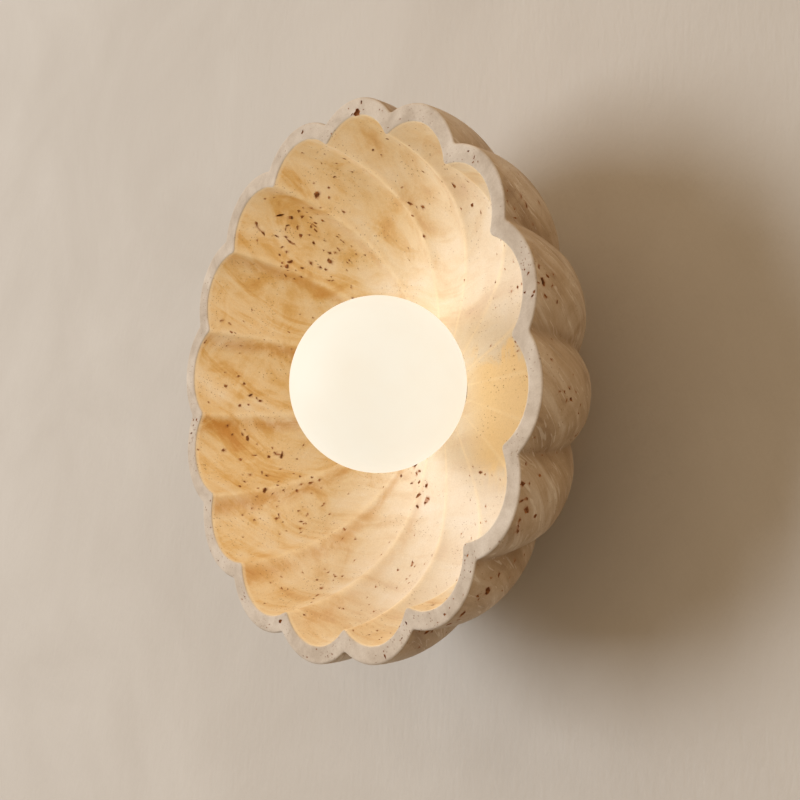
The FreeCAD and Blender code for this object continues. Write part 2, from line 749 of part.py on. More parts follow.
def terminal_poles():
    """Each pole's number and its x."""
    return [(pole, "(%d * %s)" % (side, LEAD_X)) for pole, side in enumerate((-1, 1))]


def terminal_rows():
    """The number and the z of each row of terminal screws."""
    height = "(-block_drop + %d * terminal_screw_spacing / 2)"
    return [(row, height % side) for row, side in enumerate((-1, 1))]


def terminal_tubes():
    tubes = []
    for pole, x in terminal_poles():
        name = "terminal_tube_%d" % pole
        shells = []
        for share, radius in (("outside", "tube_diameter / 2"), ("bore", "tube_bore / 2")):
            shell = doc.addObject("Part::Cylinder", "%s_%s" % (name, share))
            bind(shell, "Radius", radius)
            bind(shell, "Height", "block_width")
            bind(shell, "Placement.Base.x", x)
            bind(shell, "Placement.Base.y", "-" + TUBE_LEVEL)
            bind(shell, "Placement.Base.z", "-block_drop - block_width / 2")
            shells.append(shell)
        tools = [shells[1]]
        for row, z in terminal_rows():
            hole = "%s_hole_%d" % (name, row)
            radius = "terminal_screw_diameter / 2 + screw_play"
            tools.append(rod(hole, radius, TUBE_LEVEL, "tube_diameter", x, z))
        tubes.append(cut(name, shells[0], fuse(name + "_tools", tools)))
    return group("terminal_tubes", tubes)


def terminal_screws():
    screws = []
    tip = "(%s + lead_diameter / 2 + lead_gap)" % TUBE_LEVEL
    top = "(plate_thickness + block_height - terminal_screw_sink)"
    for pole, x in terminal_poles():
        for row, z in terminal_rows():
            name = "terminal_screw_%d_%d" % (pole, row)
            shaft = rod(name + "_shaft", "terminal_screw_diameter / 2", tip, "%s - %s" % (top, tip), x, z)
            drive = "terminal_screw_diameter * drive_share"
            socket = hexagon(name + "_socket", drive, "%s - %s" % (top, drive), drive, x, z)
            screws.append(cut(name, shaft, socket))
    return group("terminal_screws", screws)


def terminal_fixing_screw():
    length = "(%s - spigot_short)" % FIXING_SEAT
    return screw("terminal_fixing_screw", "fixing_screw_head", "fixing_screw_head_height",
                 "fixing_screw_diameter", length, FIXING_SEAT, "0", "-block_drop")


def earth_washer():
    span = ("plate_thickness", "earth_washer_thickness", "earth_screw_x", "earth_screw_z")
    disc = rod("earth_washer_disc", "earth_washer_diameter / 2", *span)
    bore = rod("earth_washer_bore", "earth_screw_diameter / 2 + screw_play", *span)
    return cut("earth_washer", disc, bore)


def earth_screw():
    seat = "(plate_thickness + earth_washer_thickness)"
    return screw("earth_screw", "earth_screw_head", "earth_screw_head_height", "earth_screw_diameter",
                 "(%s - spigot_short)" % seat, seat, "earth_screw_x", "earth_screw_z")


def globe_seal():
    seal = doc.addObject("Part::Torus", "globe_seal")
    bind(seal, "Radius1", SEAL_RADIUS)
    bind(seal, "Radius2", "seal_section / 2")
    place(seal, SEAL_LEVEL)
    return seal


def glass_globe():
    """A hollow ball with a threaded neck, turned from one profile."""
    body = new_body("glass_globe")
    sketch = new_sketch(body, "globe_profile", "XY_Plane")
    middle = "-" + GLOBE_LEVEL
    outer, inner = "(globe_diameter / 2)", "(globe_diameter / 2 - glass_thickness)"
    neck_outer, neck_inner = NECK_RADIUS, "(%s - glass_thickness)" % NECK_RADIUS
    up = FreeCAD.Vector(0, 0, 1)
    arcs = []
    for ball, neck in ((outer, neck_outer), (inner, neck_inner)):
        circle = Part.Circle(FreeCAD.Vector(0, value(middle), 0), up, value(ball))
        root = math.acos(value("%s / %s" % (neck, ball)))
        arcs.append(sketch.addGeometry(Part.ArcOfCircle(circle, -math.pi / 2, root), False))
        hold_point(sketch, arcs[-1], 3, "0", middle)
        hold_radius(sketch, arcs[-1], ball)
    corners = [sketch.getPoint(arcs[0], 2), FreeCAD.Vector(value(neck_outer), -value(NECK_END), 0),
               FreeCAD.Vector(value(neck_inner), -value(NECK_END), 0), sketch.getPoint(arcs[1], 2)]
    sides = [sketch.addGeometry(Part.LineSegment(begin, end), False)
             for begin, end in zip(corners, corners[1:])]
    pole_ends = sketch.getPoint(arcs[1], 1), sketch.getPoint(arcs[0], 1)
    pole = sketch.addGeometry(Part.LineSegment(*pole_ends), False)
    for leader, leader_end, follower, follower_end in (
            (arcs[0], 2, sides[0], 1), (sides[0], 2, sides[1], 1), (sides[1], 2, sides[2], 1),
            (sides[2], 2, arcs[1], 2), (arcs[1], 1, pole, 1), (pole, 2, arcs[0], 1)):
        sketch.addConstraint(Sketcher.Constraint("Coincident", leader, leader_end, follower, follower_end))
    hold_point(sketch, sides[1], 1, neck_outer, "-" + NECK_END)
    hold_point(sketch, sides[1], 2, neck_inner, "-" + NECK_END)
    sketch.addConstraint(Sketcher.Constraint("Vertical", sides[0]))
    sketch.addConstraint(Sketcher.Constraint("Vertical", sides[2]))
    sketch.addConstraint(Sketcher.Constraint("PointOnObject", pole, 1, -2))
    sketch.addConstraint(Sketcher.Constraint("PointOnObject", pole, 2, -2))
    ball = body.newObject("PartDesign::Revolution", "globe_ball")
    ball.Profile = sketch
    ball.ReferenceAxis = (sketch, ["V_Axis"])
    ball.Angle = 360
    helix(body, "PartDesign::AdditiveHelix", "globe_thread", "(%s - thread_play)" % NECK_RADIUS,
          "(%s + thread_height)" % NECK_RADIUS, "thread_width", "thread_crest", "thread_turns",
          "thread_lead_in")
    return body


BULB_SPIGOT = "(bulb_diameter / 2 - bulb_cover_wall - bulb_cover_gap)"
BULB_SHOULDER = "(%s + bulb_base_length)" % HOLDER_FRONT
BULB_TOP = "(%s + bulb_spigot_length)" % BULB_SHOULDER


def bulb_base():
    body = new_body("bulb_base")
    turn(body, "bulb_base_plug", [("0", HOLDER_FRONT), ("bulb_diameter / 2", HOLDER_FRONT),
                                  ("bulb_diameter / 2", BULB_SHOULDER), (BULB_SPIGOT, BULB_SHOULDER),
                                  (BULB_SPIGOT, BULB_TOP), ("0", BULB_TOP)])
    return body


def bulb_pins():
    pins = []
    for side in (-1, 1):
        label = "bulb_pin_%s" % ("right" if side > 0 else "left")
        x = side * value("pin_spacing / 2")
        half = value("bulb_pin_width / 2")
        near, far = -value(HOLDER_FRONT), -value("%s - bulb_pin_length" % HOLDER_FRONT)
        points = [FreeCAD.Vector(x, near, -half), FreeCAD.Vector(x, far, -half),
                  FreeCAD.Vector(x, far, half), FreeCAD.Vector(x, near, half)]
        bend = half * 2 * BEND_SHARE
        pin = doc.addObject("Part::Feature", label)
        pin.Shape = bent_wire(label, points, [bend, bend], value("bulb_pin_wire / 2"))
        pins.append(pin)
    return group("bulb_pins", pins)


def bulb_column():
    return block("bulb_column", "column_width", "column_width", BULB_TOP, "column_length")


def bulb_chips():
    chips = []
    for row in range(int(value("chip_rows"))):
        level = "(%s + column_length * %d / chip_rows + (column_length / chip_rows - chip_length) / 2)"
        level = level % (BULB_TOP, row)
        for side in (-1, 1):
            out = "(%d * (column_width + chip_thickness) / 2)" % side
            name = "bulb_chip_%d_%s" % (row, "high" if side > 0 else "low")
            chips.append(block(name + "_x", "chip_thickness", "chip_width", level, "chip_length", out, "0"))
            chips.append(block(name + "_z", "chip_width", "chip_thickness", level, "chip_length", "0", out))
    return group("bulb_chips", chips)


def bulb_cover():
    """A clear tube with a round end, open where it slides over the base."""
    outer = "(bulb_diameter / 2)"
    inner = "(bulb_diameter / 2 - bulb_cover_wall)"
    dome_level = "(%s + bulb_length - bulb_diameter / 2)" % HOLDER_FRONT
    shells = []
    for name, radius in (("bulb_cover_outside", outer), ("bulb_cover_inside", inner)):
        tube = rod(name + "_tube", radius, BULB_SHOULDER, "%s - %s" % (dome_level, BULB_SHOULDER))
        dome = doc.addObject("Part::Sphere", name + "_dome")
        bind(dome, "Radius", radius)
        dome.Angle1 = 0
        place(dome, dome_level)
        shells.append(fuse(name, [tube, dome]))
    return cut("bulb_cover", shells[0], shells[1])


PIECES = [
    travertine_bowl(), wall_gasket(), wall_plate(), standoffs(), shade_plate(), shade_pad(), stone_inserts(),
    shade_screws(), globe_cup(), cup_screws(), lead_grommets(), lamp_holder(), holder_contacts(),
    holder_screws(), lead("live_lead", 1), lead("neutral_lead", -1), terminal_block(), terminal_tubes(),
    terminal_screws(), terminal_fixing_screw(), earth_washer(), earth_screw(), globe_seal(), glass_globe(),
    bulb_base(), bulb_pins(), bulb_column(), bulb_chips(), bulb_cover(),
]
doc.recompute()

for thing in doc.Objects:
    if "Invalid" in thing.State or "Error" in thing.State:
        raise RuntimeError("%s failed: %s" % (thing.Name, thing.State))
for piece in PIECES:
    if piece.Shape.isNull() or not piece.Shape.isValid():
        raise RuntimeError(piece.Label + " has no valid shape")

os.makedirs("parts", exist_ok=True)
for piece in PIECES:
    piece.Shape.exportStep("parts/%s.step" % piece.Label)
    print("%-24s %3d solids %12.1f mm3" % (piece.Label, len(piece.Shape.Solids), piece.Shape.Volume))
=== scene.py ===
# %% [markdown]
# # A flower-shaped wall lamp
# The lamp is a bowl carved from one block of travertine, with sixteen round flutes like petals, and a
# lit ball of opal glass in its middle. This lesson loads the construction model as a fixed frame,
# carves the stone again as a fine mesh with the pits that travertine has, and then gives every piece
# its finish.

# %% Load the construction model
import math
import random

import bmesh
import bpy
import numpy as np
from mathutils import Matrix, Vector, noise


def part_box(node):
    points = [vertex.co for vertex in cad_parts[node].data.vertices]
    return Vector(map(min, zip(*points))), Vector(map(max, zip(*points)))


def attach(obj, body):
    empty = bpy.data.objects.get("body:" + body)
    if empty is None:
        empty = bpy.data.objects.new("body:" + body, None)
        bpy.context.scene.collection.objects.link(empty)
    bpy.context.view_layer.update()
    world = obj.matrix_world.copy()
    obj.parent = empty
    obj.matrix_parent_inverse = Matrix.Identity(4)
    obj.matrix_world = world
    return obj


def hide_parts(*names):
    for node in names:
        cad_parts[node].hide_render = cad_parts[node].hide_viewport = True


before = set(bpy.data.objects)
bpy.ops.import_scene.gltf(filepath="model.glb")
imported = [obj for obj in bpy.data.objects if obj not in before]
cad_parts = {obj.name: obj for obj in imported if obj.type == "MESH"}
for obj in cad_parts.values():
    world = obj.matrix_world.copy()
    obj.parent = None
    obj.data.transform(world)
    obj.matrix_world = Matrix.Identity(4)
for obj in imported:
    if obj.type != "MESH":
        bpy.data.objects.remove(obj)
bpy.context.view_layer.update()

# %% [markdown]
# ## The camera
# The photograph looks at the lamp from its right and from a little below. The camera was fitted to the
# flutes of the rim and to the outline of the globe, so its place, aim and lens are simply set here.

# %% Set the camera
scene = bpy.context.scene
scene.view_settings.view_transform = "Standard"
bpy.ops.object.select_all(action="DESELECT")
bpy.ops.object.camera_add(location=(0.51819, -0.50892, -0.07933))
camera = bpy.context.object
camera.name = "photo_camera"
camera.data.lens = 57.16
camera.data.sensor_width = 36.0
AIM = Vector((0.05237, -0.106, -0.01473))
camera.rotation_euler = (AIM - camera.location).to_track_quat("-Z", "Y").to_euler()
scene.camera = camera
print("camera", round((AIM - camera.location).length, 3), "m from its aim")

# %% [markdown]
# ## The outline of the flower
# Seen from the front, the bowl's edge is a ring of sixteen equal arcs. A ring like that could be drawn
# point by point. Here one vertex is spun into the arc of one flute, and the arc is spun round the
# lamp's axis, which is how a mason would strike it with a compass. The vertices where two arcs meet are
# bevelled, because no carved ridge is a perfect edge.

# %% Sizes of the outline, in metres
RIM_LEVEL = -0.106
FLUTES = 16
HALF_FLUTE = math.pi / FLUTES
FIRST_RIDGE = math.radians(3.8)
LOBE_TIP = 0.1383
RIDGE = 0.1270
RIM_WALL = 0.0092
LOBE_MIDDLE = (LOBE_TIP ** 2 - RIDGE ** 2) / (2 * (LOBE_TIP - RIDGE * math.cos(HALF_FLUTE)))
LOBE_RADIUS = LOBE_TIP - LOBE_MIDDLE
ARC_STEPS = 22
SAME_PLACE = 0.00001
print("each lobe is an arc of", round(LOBE_RADIUS * 1000, 1), "mm radius")


# %% Strike one ring of arcs
def put_down_tools():
    """Leaves edit mode and lets go of every object."""
    if bpy.context.mode != "OBJECT":
        bpy.ops.object.mode_set(mode="OBJECT")
    bpy.ops.object.select_all(action="DESELECT")


def select_vertices(piece, chosen):
    """Selects the vertices whose place passes a test, and tells how many they are."""
    bpy.ops.mesh.select_mode(type="VERT")
    bpy.ops.mesh.select_all(action="DESELECT")
    mesh = bmesh.from_edit_mesh(piece.data)
    for vertex in mesh.verts:
        vertex.select = chosen(vertex.co)
    bmesh.update_edit_mesh(piece.data)
    return sum(vertex.select for vertex in mesh.verts)


def on_rim_plane(radius, turn):
    return Vector((-radius * math.sin(turn), RIM_LEVEL, radius * math.cos(turn)))


def scalloped_ring(name, lobe_radius, softening):
    put_down_tools()
    sunk = LOBE_MIDDLE * math.sin(HALF_FLUTE)
    ridge = LOBE_MIDDLE * math.cos(HALF_FLUTE) + math.sqrt(lobe_radius ** 2 - sunk ** 2)
    bpy.ops.mesh.primitive_plane_add(size=0.001, location=on_rim_plane(ridge, FIRST_RIDGE))
    ring = bpy.context.object
    ring.name = name
    bpy.ops.object.transform_apply(location=True)
    bpy.ops.object.mode_set(mode="EDIT")
    bpy.ops.mesh.select_all(action="SELECT")
    bpy.ops.mesh.merge(type="CENTER")
    sweep = 2 * math.atan2(ridge * math.sin(HALF_FLUTE), ridge * math.cos(HALF_FLUTE) - LOBE_MIDDLE)
    bpy.ops.mesh.select_all(action="SELECT")
    bpy.ops.mesh.spin(steps=ARC_STEPS, angle=sweep, axis=(0, 1, 0),
                      center=on_rim_plane(LOBE_MIDDLE, FIRST_RIDGE + HALF_FLUTE))
    bpy.ops.mesh.select_all(action="SELECT")
    bpy.ops.mesh.spin(steps=FLUTES, dupli=True, angle=2 * math.pi, axis=(0, 1, 0), center=(0, RIM_LEVEL, 0))
    bpy.ops.mesh.select_all(action="SELECT")
    bpy.ops.mesh.remove_doubles(threshold=SAME_PLACE)
    ridges = select_vertices(ring, lambda place: math.hypot(place.x, place.z) < ridge + SAME_PLACE)
    bpy.ops.mesh.bevel(offset=softening, segments=3, affect="VERTICES")
    bpy.ops.mesh.select_all(action="SELECT")
    print(name, ridges, "ridges,", len(bmesh.from_edit_mesh(ring.data).verts), "vertices")
    return ring


# %% [markdown]
# ## The walls of the bowl
# From the rim backwards, inside and outside, the outline only shrinks. Its scale and its depth lie on a
# rounded curve, steep at the rim and flat at the bottom. The ring is therefore extruded in small steps,
# each one moved back and resized, which keeps all the flutes true. A loft or a lattice could give the
# same form, but not the even quads that the pits are cut from later.

# %% Curves of the two walls
OUTER_REACH, OUTER_SIDE, OUTER_BACK = 0.1267, 2.16, 1.23
STONE_DEPTH = 0.104
BOWL_DEPTH = 0.0765
INNER_SIDE, INNER_FLOOR = 1.36, 4.6
FLOOR_RADIUS = 0.0445
WALL_STEPS = 42


def even_steps(reach, side, end, last_turn, count):
    """Depths and scales at even distances along the curve scale^end + (depth / reach)^side = 1."""
    turns = np.linspace(0, last_turn, 2000)
    depth = reach * np.sin(turns) ** (2 / side)
    scale = np.cos(turns) ** (2 / end)
    run = np.concatenate([[0], np.cumsum(np.hypot(np.diff(depth), RIDGE * np.diff(scale)))])
    even = np.linspace(0, run[-1], count)
    return list(zip(np.interp(even, run, depth), np.interp(even, run, scale)))


outer_turn = math.asin((STONE_DEPTH / OUTER_REACH) ** (OUTER_SIDE / 2))
outer_curve = even_steps(OUTER_REACH, OUTER_SIDE, OUTER_BACK, outer_turn, WALL_STEPS)
inner_turn = math.acos((FLOOR_RADIUS / RIDGE) ** (INNER_FLOOR / 2))
INNER_REACH = BOWL_DEPTH / math.sin(inner_turn) ** (2 / INNER_SIDE)
inner_curve = even_steps(INNER_REACH, INNER_SIDE, INNER_FLOOR, inner_turn, WALL_STEPS)
print("outside ends at scale", round(outer_curve[-1][1], 3), "and inside at", round(inner_curve[-1][1], 3))


# %% Soften both edges of the rim
EDGE_ROUND = 0.0011
EDGE_STEPS = 4


def soften_rim(curve, inward):
    """Swaps the curve's start for a quarter round between the flat rim and the wall."""
    softened = []
    for step in range(EDGE_STEPS + 1):
        turn = math.pi / 2 * step / EDGE_STEPS
        pull = EDGE_ROUND * (1 - math.sin(turn)) / LOBE_TIP
        softened.append((EDGE_ROUND * (1 - math.cos(turn)), 1 + inward * pull))
    return softened + [station for station in curve if station[0] > 2 * EDGE_ROUND]


outer_stations = soften_rim(outer_curve, -1)
inner_stations = soften_rim(inner_curve, 1)
print(len(outer_stations), "steps outside and", len(inner_stations), "inside")


# %% Pull the ring back along a curve
def resize_ring(grow):
    bpy.ops.transform.resize(value=(grow, 1, grow), center_override=(0, 0, 0))


def pull_ring(stations):
    depth_before, scale_before = stations[0]
    resize_ring(scale_before)
    for depth, scale in stations[1:]:
        bpy.ops.mesh.extrude_region_move(TRANSFORM_OT_translate={"value": (0, depth - depth_before, 0)})
        resize_ring(scale / scale_before)
        depth_before, scale_before = depth, scale


def selected_radius(piece):
    chosen = [vertex.co for vertex in bmesh.from_edit_mesh(piece.data).verts if vertex.select]
    return sum(math.hypot(place.x, place.z) for place in chosen) / len(chosen)


def pull_circle(piece, radius, back=0.0):
    """One more step, to a true circle of that radius."""
    bpy.ops.mesh.extrude_region_move(TRANSFORM_OT_translate={"value": (0, back, 0)})
    bpy.ops.transform.tosphere(value=1)
    resize_ring(radius / selected_radius(piece))


# %% [markdown]
# ## Outside, recess and inside
# Behind the flutes the foot is a flat ring against the wall. A round recess in it hides the plates, and
# a hole in the floor takes the globe's cup. The ring becomes a circle with To Sphere there, because
# those two were turned and not carved. The valleys between the lobes are deeper behind the rim than at
# it. They could be sculpted, but thin cuts keep them all alike: the vertices nearest to the valleys are
# scaled inwards, again and again, each time a narrower band of them. The rim falls inwards by a tenth
# of a millimetre, because Bridge can't tell which way round to join two loops in the same plane.
# Inside, the ridges were sanded by hand and grow softer towards the floor, so those vertices are
# smoothed a few times, the deeper ones more often.

# %% Model the outside with its recess
RECESS_RADIUS = 0.0488
RECESS_DEPTH = 0.014
HOLE_RADIUS = 0.0194
FOOT_ROUND = 0.0008
VALLEY_SOFTENING, RIDGE_SOFTENING = 0.0014, 0.0024

bowl = scalloped_ring("travertine_bowl_carved", LOBE_RADIUS + RIM_WALL, VALLEY_SOFTENING)
pull_ring(outer_stations)
pull_circle(bowl, RECESS_RADIUS + FOOT_ROUND)
pull_circle(bowl, RECESS_RADIUS, -FOOT_ROUND)
pull_circle(bowl, RECESS_RADIUS, FOOT_ROUND - RECESS_DEPTH)
pull_circle(bowl, HOLE_RADIUS)
print("outside:", len(bmesh.from_edit_mesh(bowl.data).faces), "faces")

# %% Deepen the valleys behind the rim, in thin cuts
VALLEY_BANDS = ((0.006, 0.062), (0.012, 0.070), (0.018, 0.078), (0.024, 0.086))
VALLEY_CUTS = (0.50, 0.60, 0.70, 0.78, 0.86, 0.93)
VALLEY_SHRINK = 0.9993


def off_lobe(place):
    """0 on the middle of a lobe, 1 in the valley beside it."""
    turn = math.atan2(-place.x, place.z)
    return abs((turn - FIRST_RIDGE) % (2 * HALF_FLUTE) - HALF_FLUTE) / HALF_FLUTE


for least_depth, least_radius in VALLEY_BANDS:
    for least_off in VALLEY_CUTS:
        select_vertices(bowl, lambda place: place.y > RIM_LEVEL + least_depth
                        and math.hypot(place.x, place.z) > least_radius and off_lobe(place) > least_off)
        resize_ring(VALLEY_SHRINK)
deepest = 1 - VALLEY_SHRINK ** (len(VALLEY_BANDS) * len(VALLEY_CUTS))
print("valleys cut back by up to", round(100 * deepest, 2), "% of their radius")

# %% Model the inside down to the hole
RIM_FALL = 0.0001
FLOOR_RINGS = (0.041, 0.034, 0.027, HOLE_RADIUS + FOOT_ROUND)
hollow = scalloped_ring("bowl_hollow", LOBE_RADIUS, RIDGE_SOFTENING)
bpy.ops.transform.translate(value=(0, RIM_FALL, 0))
pull_ring(inner_stations)
for floor_radius in FLOOR_RINGS:
    pull_circle(hollow, floor_radius)
pull_circle(hollow, HOLE_RADIUS, FOOT_ROUND)
print("inside:", len(bmesh.from_edit_mesh(hollow.data).faces), "faces")

# %% Wear the ridges down, more the deeper they are
WORN_FROM = (0.006, 0.016, 0.028, 0.042)
WORN_RADIUS = FLOOR_RADIUS + 0.002
for worn_depth in WORN_FROM:
    worn = select_vertices(hollow, lambda place: place.y > RIM_LEVEL + worn_depth
                           and math.hypot(place.x, place.z) > WORN_RADIUS)
    bpy.ops.mesh.vertices_smooth(factor=0.5)
    print("worn below", worn_depth, "m:", worn, "vertices")


# %% Join the two skins into one block
RIM_CUTS = 6
RIM_LOOPS = RIM_LEVEL - RIM_FALL, RIM_LEVEL + 2 * RIM_FALL
HOLE_LOOPS = -0.035, -0.010


def bridge_open_loops(piece, level_low, level_high, cuts):
    """Bridges the two open loops whose levels lie in that band."""
    mesh = bmesh.from_edit_mesh(piece.data)
    bpy.ops.mesh.select_mode(type="EDGE")
    bpy.ops.mesh.select_all(action="DESELECT")
    for edge in mesh.edges:
        if edge.is_boundary and all(level_low < vertex.co.y < level_high for vertex in edge.verts):
            edge.select = True
    bmesh.update_edit_mesh(piece.data)
    bpy.ops.mesh.bridge_edge_loops(number_cuts=cuts, interpolation="LINEAR")


put_down_tools()
hollow.select_set(True)
bowl.select_set(True)
bpy.context.view_layer.objects.active = bowl
bpy.ops.object.join()
bpy.ops.object.mode_set(mode="EDIT")
bridge_open_loops(bowl, *RIM_LOOPS, RIM_CUTS)
bridge_open_loops(bowl, *HOLE_LOOPS, 0)
bpy.ops.mesh.select_all(action="SELECT")
bpy.ops.mesh.normals_make_consistent(inside=False)
block = bmesh.from_edit_mesh(bowl.data)
open_edges = sum(not edge.is_manifold for edge in block.edges)
volume = round(block.calc_volume() * 1e6, 1)
print("block:", len(block.faces), "faces,", open_edges, "open edges,", volume, "cm3")
put_down_tools()

# %% [markdown]
# ## The pits
# Travertine is full of small holes, where plants once grew in the spring that laid it down. They are
# sharp at their edges, longer than wide, and come in flocks. A bump map would look flat at the rim and
# from the side, so they are cut: a few lumps are modelled from spheres, hundreds of copies are sunk
# into the surface, and a Boolean modifier takes them out. The coarse lumps give angular holes and the
# finer ones round holes. Most lie along the layers of the stone, which slope down from the front of the
# lamp to its back.

# %% Model the lumps
LUMPS = 8
lumps = []
for seed in range(LUMPS):
    put_down_tools()
    bpy.ops.mesh.primitive_ico_sphere_add(subdivisions=1 + seed % 2, radius=1)
    lump = bpy.context.object
    bpy.ops.object.mode_set(mode="EDIT")
    bpy.ops.mesh.select_all(action="SELECT")
    bpy.ops.transform.vertex_random(offset=0.75 if seed % 2 else 0.9, seed=seed)
    bpy.ops.object.mode_set(mode="OBJECT")
    corners = np.array([vertex.co for vertex in lump.data.vertices])
    sides = np.array([list(face.vertices) for face in lump.data.polygons])
    lumps.append((corners, sides))
    bpy.data.objects.remove(lump)
print(LUMPS, "lumps with", [len(sides) for corners, sides in lumps], "faces")


# %% Find places on the stone
def lobe_edge(turn, lobe_radius):
    """How far the outline lies from the axis at that angle."""
    off_middle = (turn - FIRST_RIDGE) % (2 * HALF_FLUTE) - HALF_FLUTE
    sunk = LOBE_MIDDLE * np.sin(off_middle)
    return LOBE_MIDDLE * np.cos(off_middle) + np.sqrt(lobe_radius ** 2 - sunk ** 2)


def inside_radius(level):
    depths, scales = zip(*inner_curve)
    return RIDGE * np.interp(-level - RIM_LEVEL, depths, scales)


def spot_on_bowl(side, turn, along, stray=Vector()):
    """A point and the normal there: along is a level in metres, or a share of the rim's width."""
    outward = Vector((-math.sin(turn), 0, math.cos(turn)))
    if side == "rim":
        radius = lobe_edge(turn, LOBE_RADIUS) + along * RIM_WALL
        start, heading = outward * radius + Vector((0, -0.2, 0)) + stray, Vector((0, 1, 0))
    elif side == "inside":
        start = Vector((0, RIM_LEVEL / 2 - 0.03, 0))
        heading = outward * inside_radius(along) + Vector((0, -along, 0)) + stray - start
    else:
        start, heading = outward * 0.3 + Vector((0, -along, 0)) + stray, -outward
    hit, place, normal, face = bowl.ray_cast(start, heading)
    return place, normal


# %% Sink single pits
LAYER_TILT = math.radians(-55)
LAYER_NORMAL = Vector((0, math.cos(LAYER_TILT), -math.sin(LAYER_TILT)))
chance = random.Random(6545)
pits = []


def sink_pit(place, normal, length, slim, tilt):
    """Keeps a pit unless another is too near: its place, its axes, its three half sizes and its lump."""
    if any((place - other[0]).length < (length + 2 * other[2][0]) * 0.5 for other in pits):
        return False
    bedding = LAYER_NORMAL.cross(normal)
    if bedding.length < 0.2:
        bedding = Vector((place.z, 0, -place.x))
    long_way = Matrix.Rotation(tilt, 3, normal) @ bedding.normalized()
    axes = Matrix((long_way, normal.cross(long_way), normal)).transposed()
    half = length / 2
    half_sizes = half, half * slim, half * chance.uniform(0.3, 0.8)
    pits.append((place, axes, half_sizes, chance.randrange(LUMPS)))
    return True


def flock(side, turn, along, spread, count, longest):
    """Some pits round one spot, the first of them the longest."""
    kept = tries = 0
    while kept < count and tries < 30 * count:
        tries += 1
        stray = Vector([chance.gauss(0, spread) if kept else 0.0 for axis in range(3)])
        place, normal = spot_on_bowl(side, math.radians(turn), along, stray)
        if side == "rim" and abs(place.y - RIM_LEVEL) > 0.001:
            continue
        length = longest * (chance.uniform(0.2, 0.7) if kept else 1.0)
        kept += sink_pit(place, normal, length, chance.uniform(0.25, 0.85), chance.gauss(0, 0.8))


# %% [markdown]
# ### Flocks that can be seen
# The larger flocks are set where the photograph has them. A turn is counted in degrees from the top,
# towards the lamp's right side as it hangs, so to the left in the picture; a level is the distance from
# the wall.

# %% Flocks seen in the photograph
MM = 0.001
INSIDE_FLOCKS = [(37, 85, 9, 13, 5.0), (43, 89, 8, 9, 3.4), (47, 72, 6, 6, 4.2), (36, 66, 8, 8, 3.0),
                 (42, 54, 8, 16, 3.2), (24, 80, 9, 9, 3.4), (10, 82, 9, 7, 2.0), (2, 51, 6, 5, 4.0),
                 (339, 58, 4, 3, 3.0), (336, 48, 6, 4, 2.4), (71, 92, 7, 6, 2.4), (68, 60, 8, 8, 1.8),
                 (88, 74, 7, 8, 3.0), (100, 76, 6, 7, 3.2), (106, 60, 7, 8, 4.0), (117, 75, 8, 12, 3.8),
                 (118, 52, 8, 9, 2.2), (128, 60, 9, 12, 2.0), (140, 48, 9, 10, 2.0), (152, 70, 9, 9, 2.0),
                 (151, 29.6, 5, 5, 4.6), (162, 31, 5, 7, 4.2), (172, 42, 9, 8, 2.2), (200, 38, 9, 8, 1.8),
                 (213, 30.3, 7, 8, 2.4), (250, 34, 9, 9, 1.8), (290, 31, 9, 12, 2.0), (312, 44, 9, 9, 1.8)]
OUTSIDE_FLOCKS = [(282, 102, 4, 6, 4.2), (242, 99, 7, 10, 4.4), (223, 93, 5, 5, 4.6), (218, 101, 4, 4, 4.0),
                  (205, 95, 7, 11, 3.6), (262, 84, 9, 10, 2.6), (255, 60, 9, 9, 2.4), (300, 90, 7, 8, 2.4),
                  (20, 80, 10, 12, 3.4), (60, 60, 10, 14, 3.6), (110, 85, 10, 12, 3.4),
                  (150, 50, 10, 14, 3.6), (185, 70, 10, 12, 3.0), (330, 45, 10, 14, 3.4)]
RIM_FLOCKS = [(352.6, 0.16, 2, 3, 5.2), (12, 0.55, 3, 2, 3.0), (312, 0.5, 4, 5, 2.6), (284, 0.5, 5, 4, 2.0),
              (228, 0.5, 6, 6, 1.8), (205, 0.5, 6, 6, 2.0), (160, 0.5, 5, 4, 3.0), (95, 0.5, 8, 6, 1.8)]
for turn, level, spread, count, longest in INSIDE_FLOCKS:
    flock("inside", turn, level * MM, spread * MM, count, longest * MM)
for turn, level, spread, count, longest in OUTSIDE_FLOCKS:
    flock("outside", turn, level * MM, spread * MM, count, longest * MM)
for turn, share, spread, count, longest in RIM_FLOCKS:
    flock("rim", turn, share, spread * MM, count, longest * MM)
print(len(pits), "pits in flocks")


# %% Small pits everywhere else
def scatter(side, count, low, high, thin, spread):
    """Small pits on one side of the stone, more of them where a slow noise is high."""
    kept = tries = 0
    while kept < count and tries < 60 * count:
        tries += 1
        place, normal = spot_on_bowl(side, chance.uniform(0, 2 * math.pi), chance.uniform(low, high))
        crowd = noise.noise(place * spread + Vector((3.1, 0, 7.7))) + 0.5 * noise.noise(place * spread * 3)
        if crowd > thin + chance.uniform(-0.25, 0.25):
            length = min(0.0028, 0.0009 * math.exp(chance.gauss(0.1, 0.4)))
            kept += sink_pit(place, normal, length, chance.uniform(0.3, 0.75), chance.gauss(0, 0.7))
    print(side, kept, "small pits after", tries, "tries")


scatter("inside", 240, 0.0305, 0.1035, 0.0, 24)
scatter("outside", 260, 0.010, 0.1035, 0.0, 20)
scatter("rim", 45, 0.10, 0.90, 0.0, 30)

# %% [markdown]
# ### Cutting
# All the lumps become one cutter. It also drills the three blind holes behind, where brass inserts take
# the screws of the shade plate. Faces from the lumps keep the second material, which is the crust
# inside a pit.

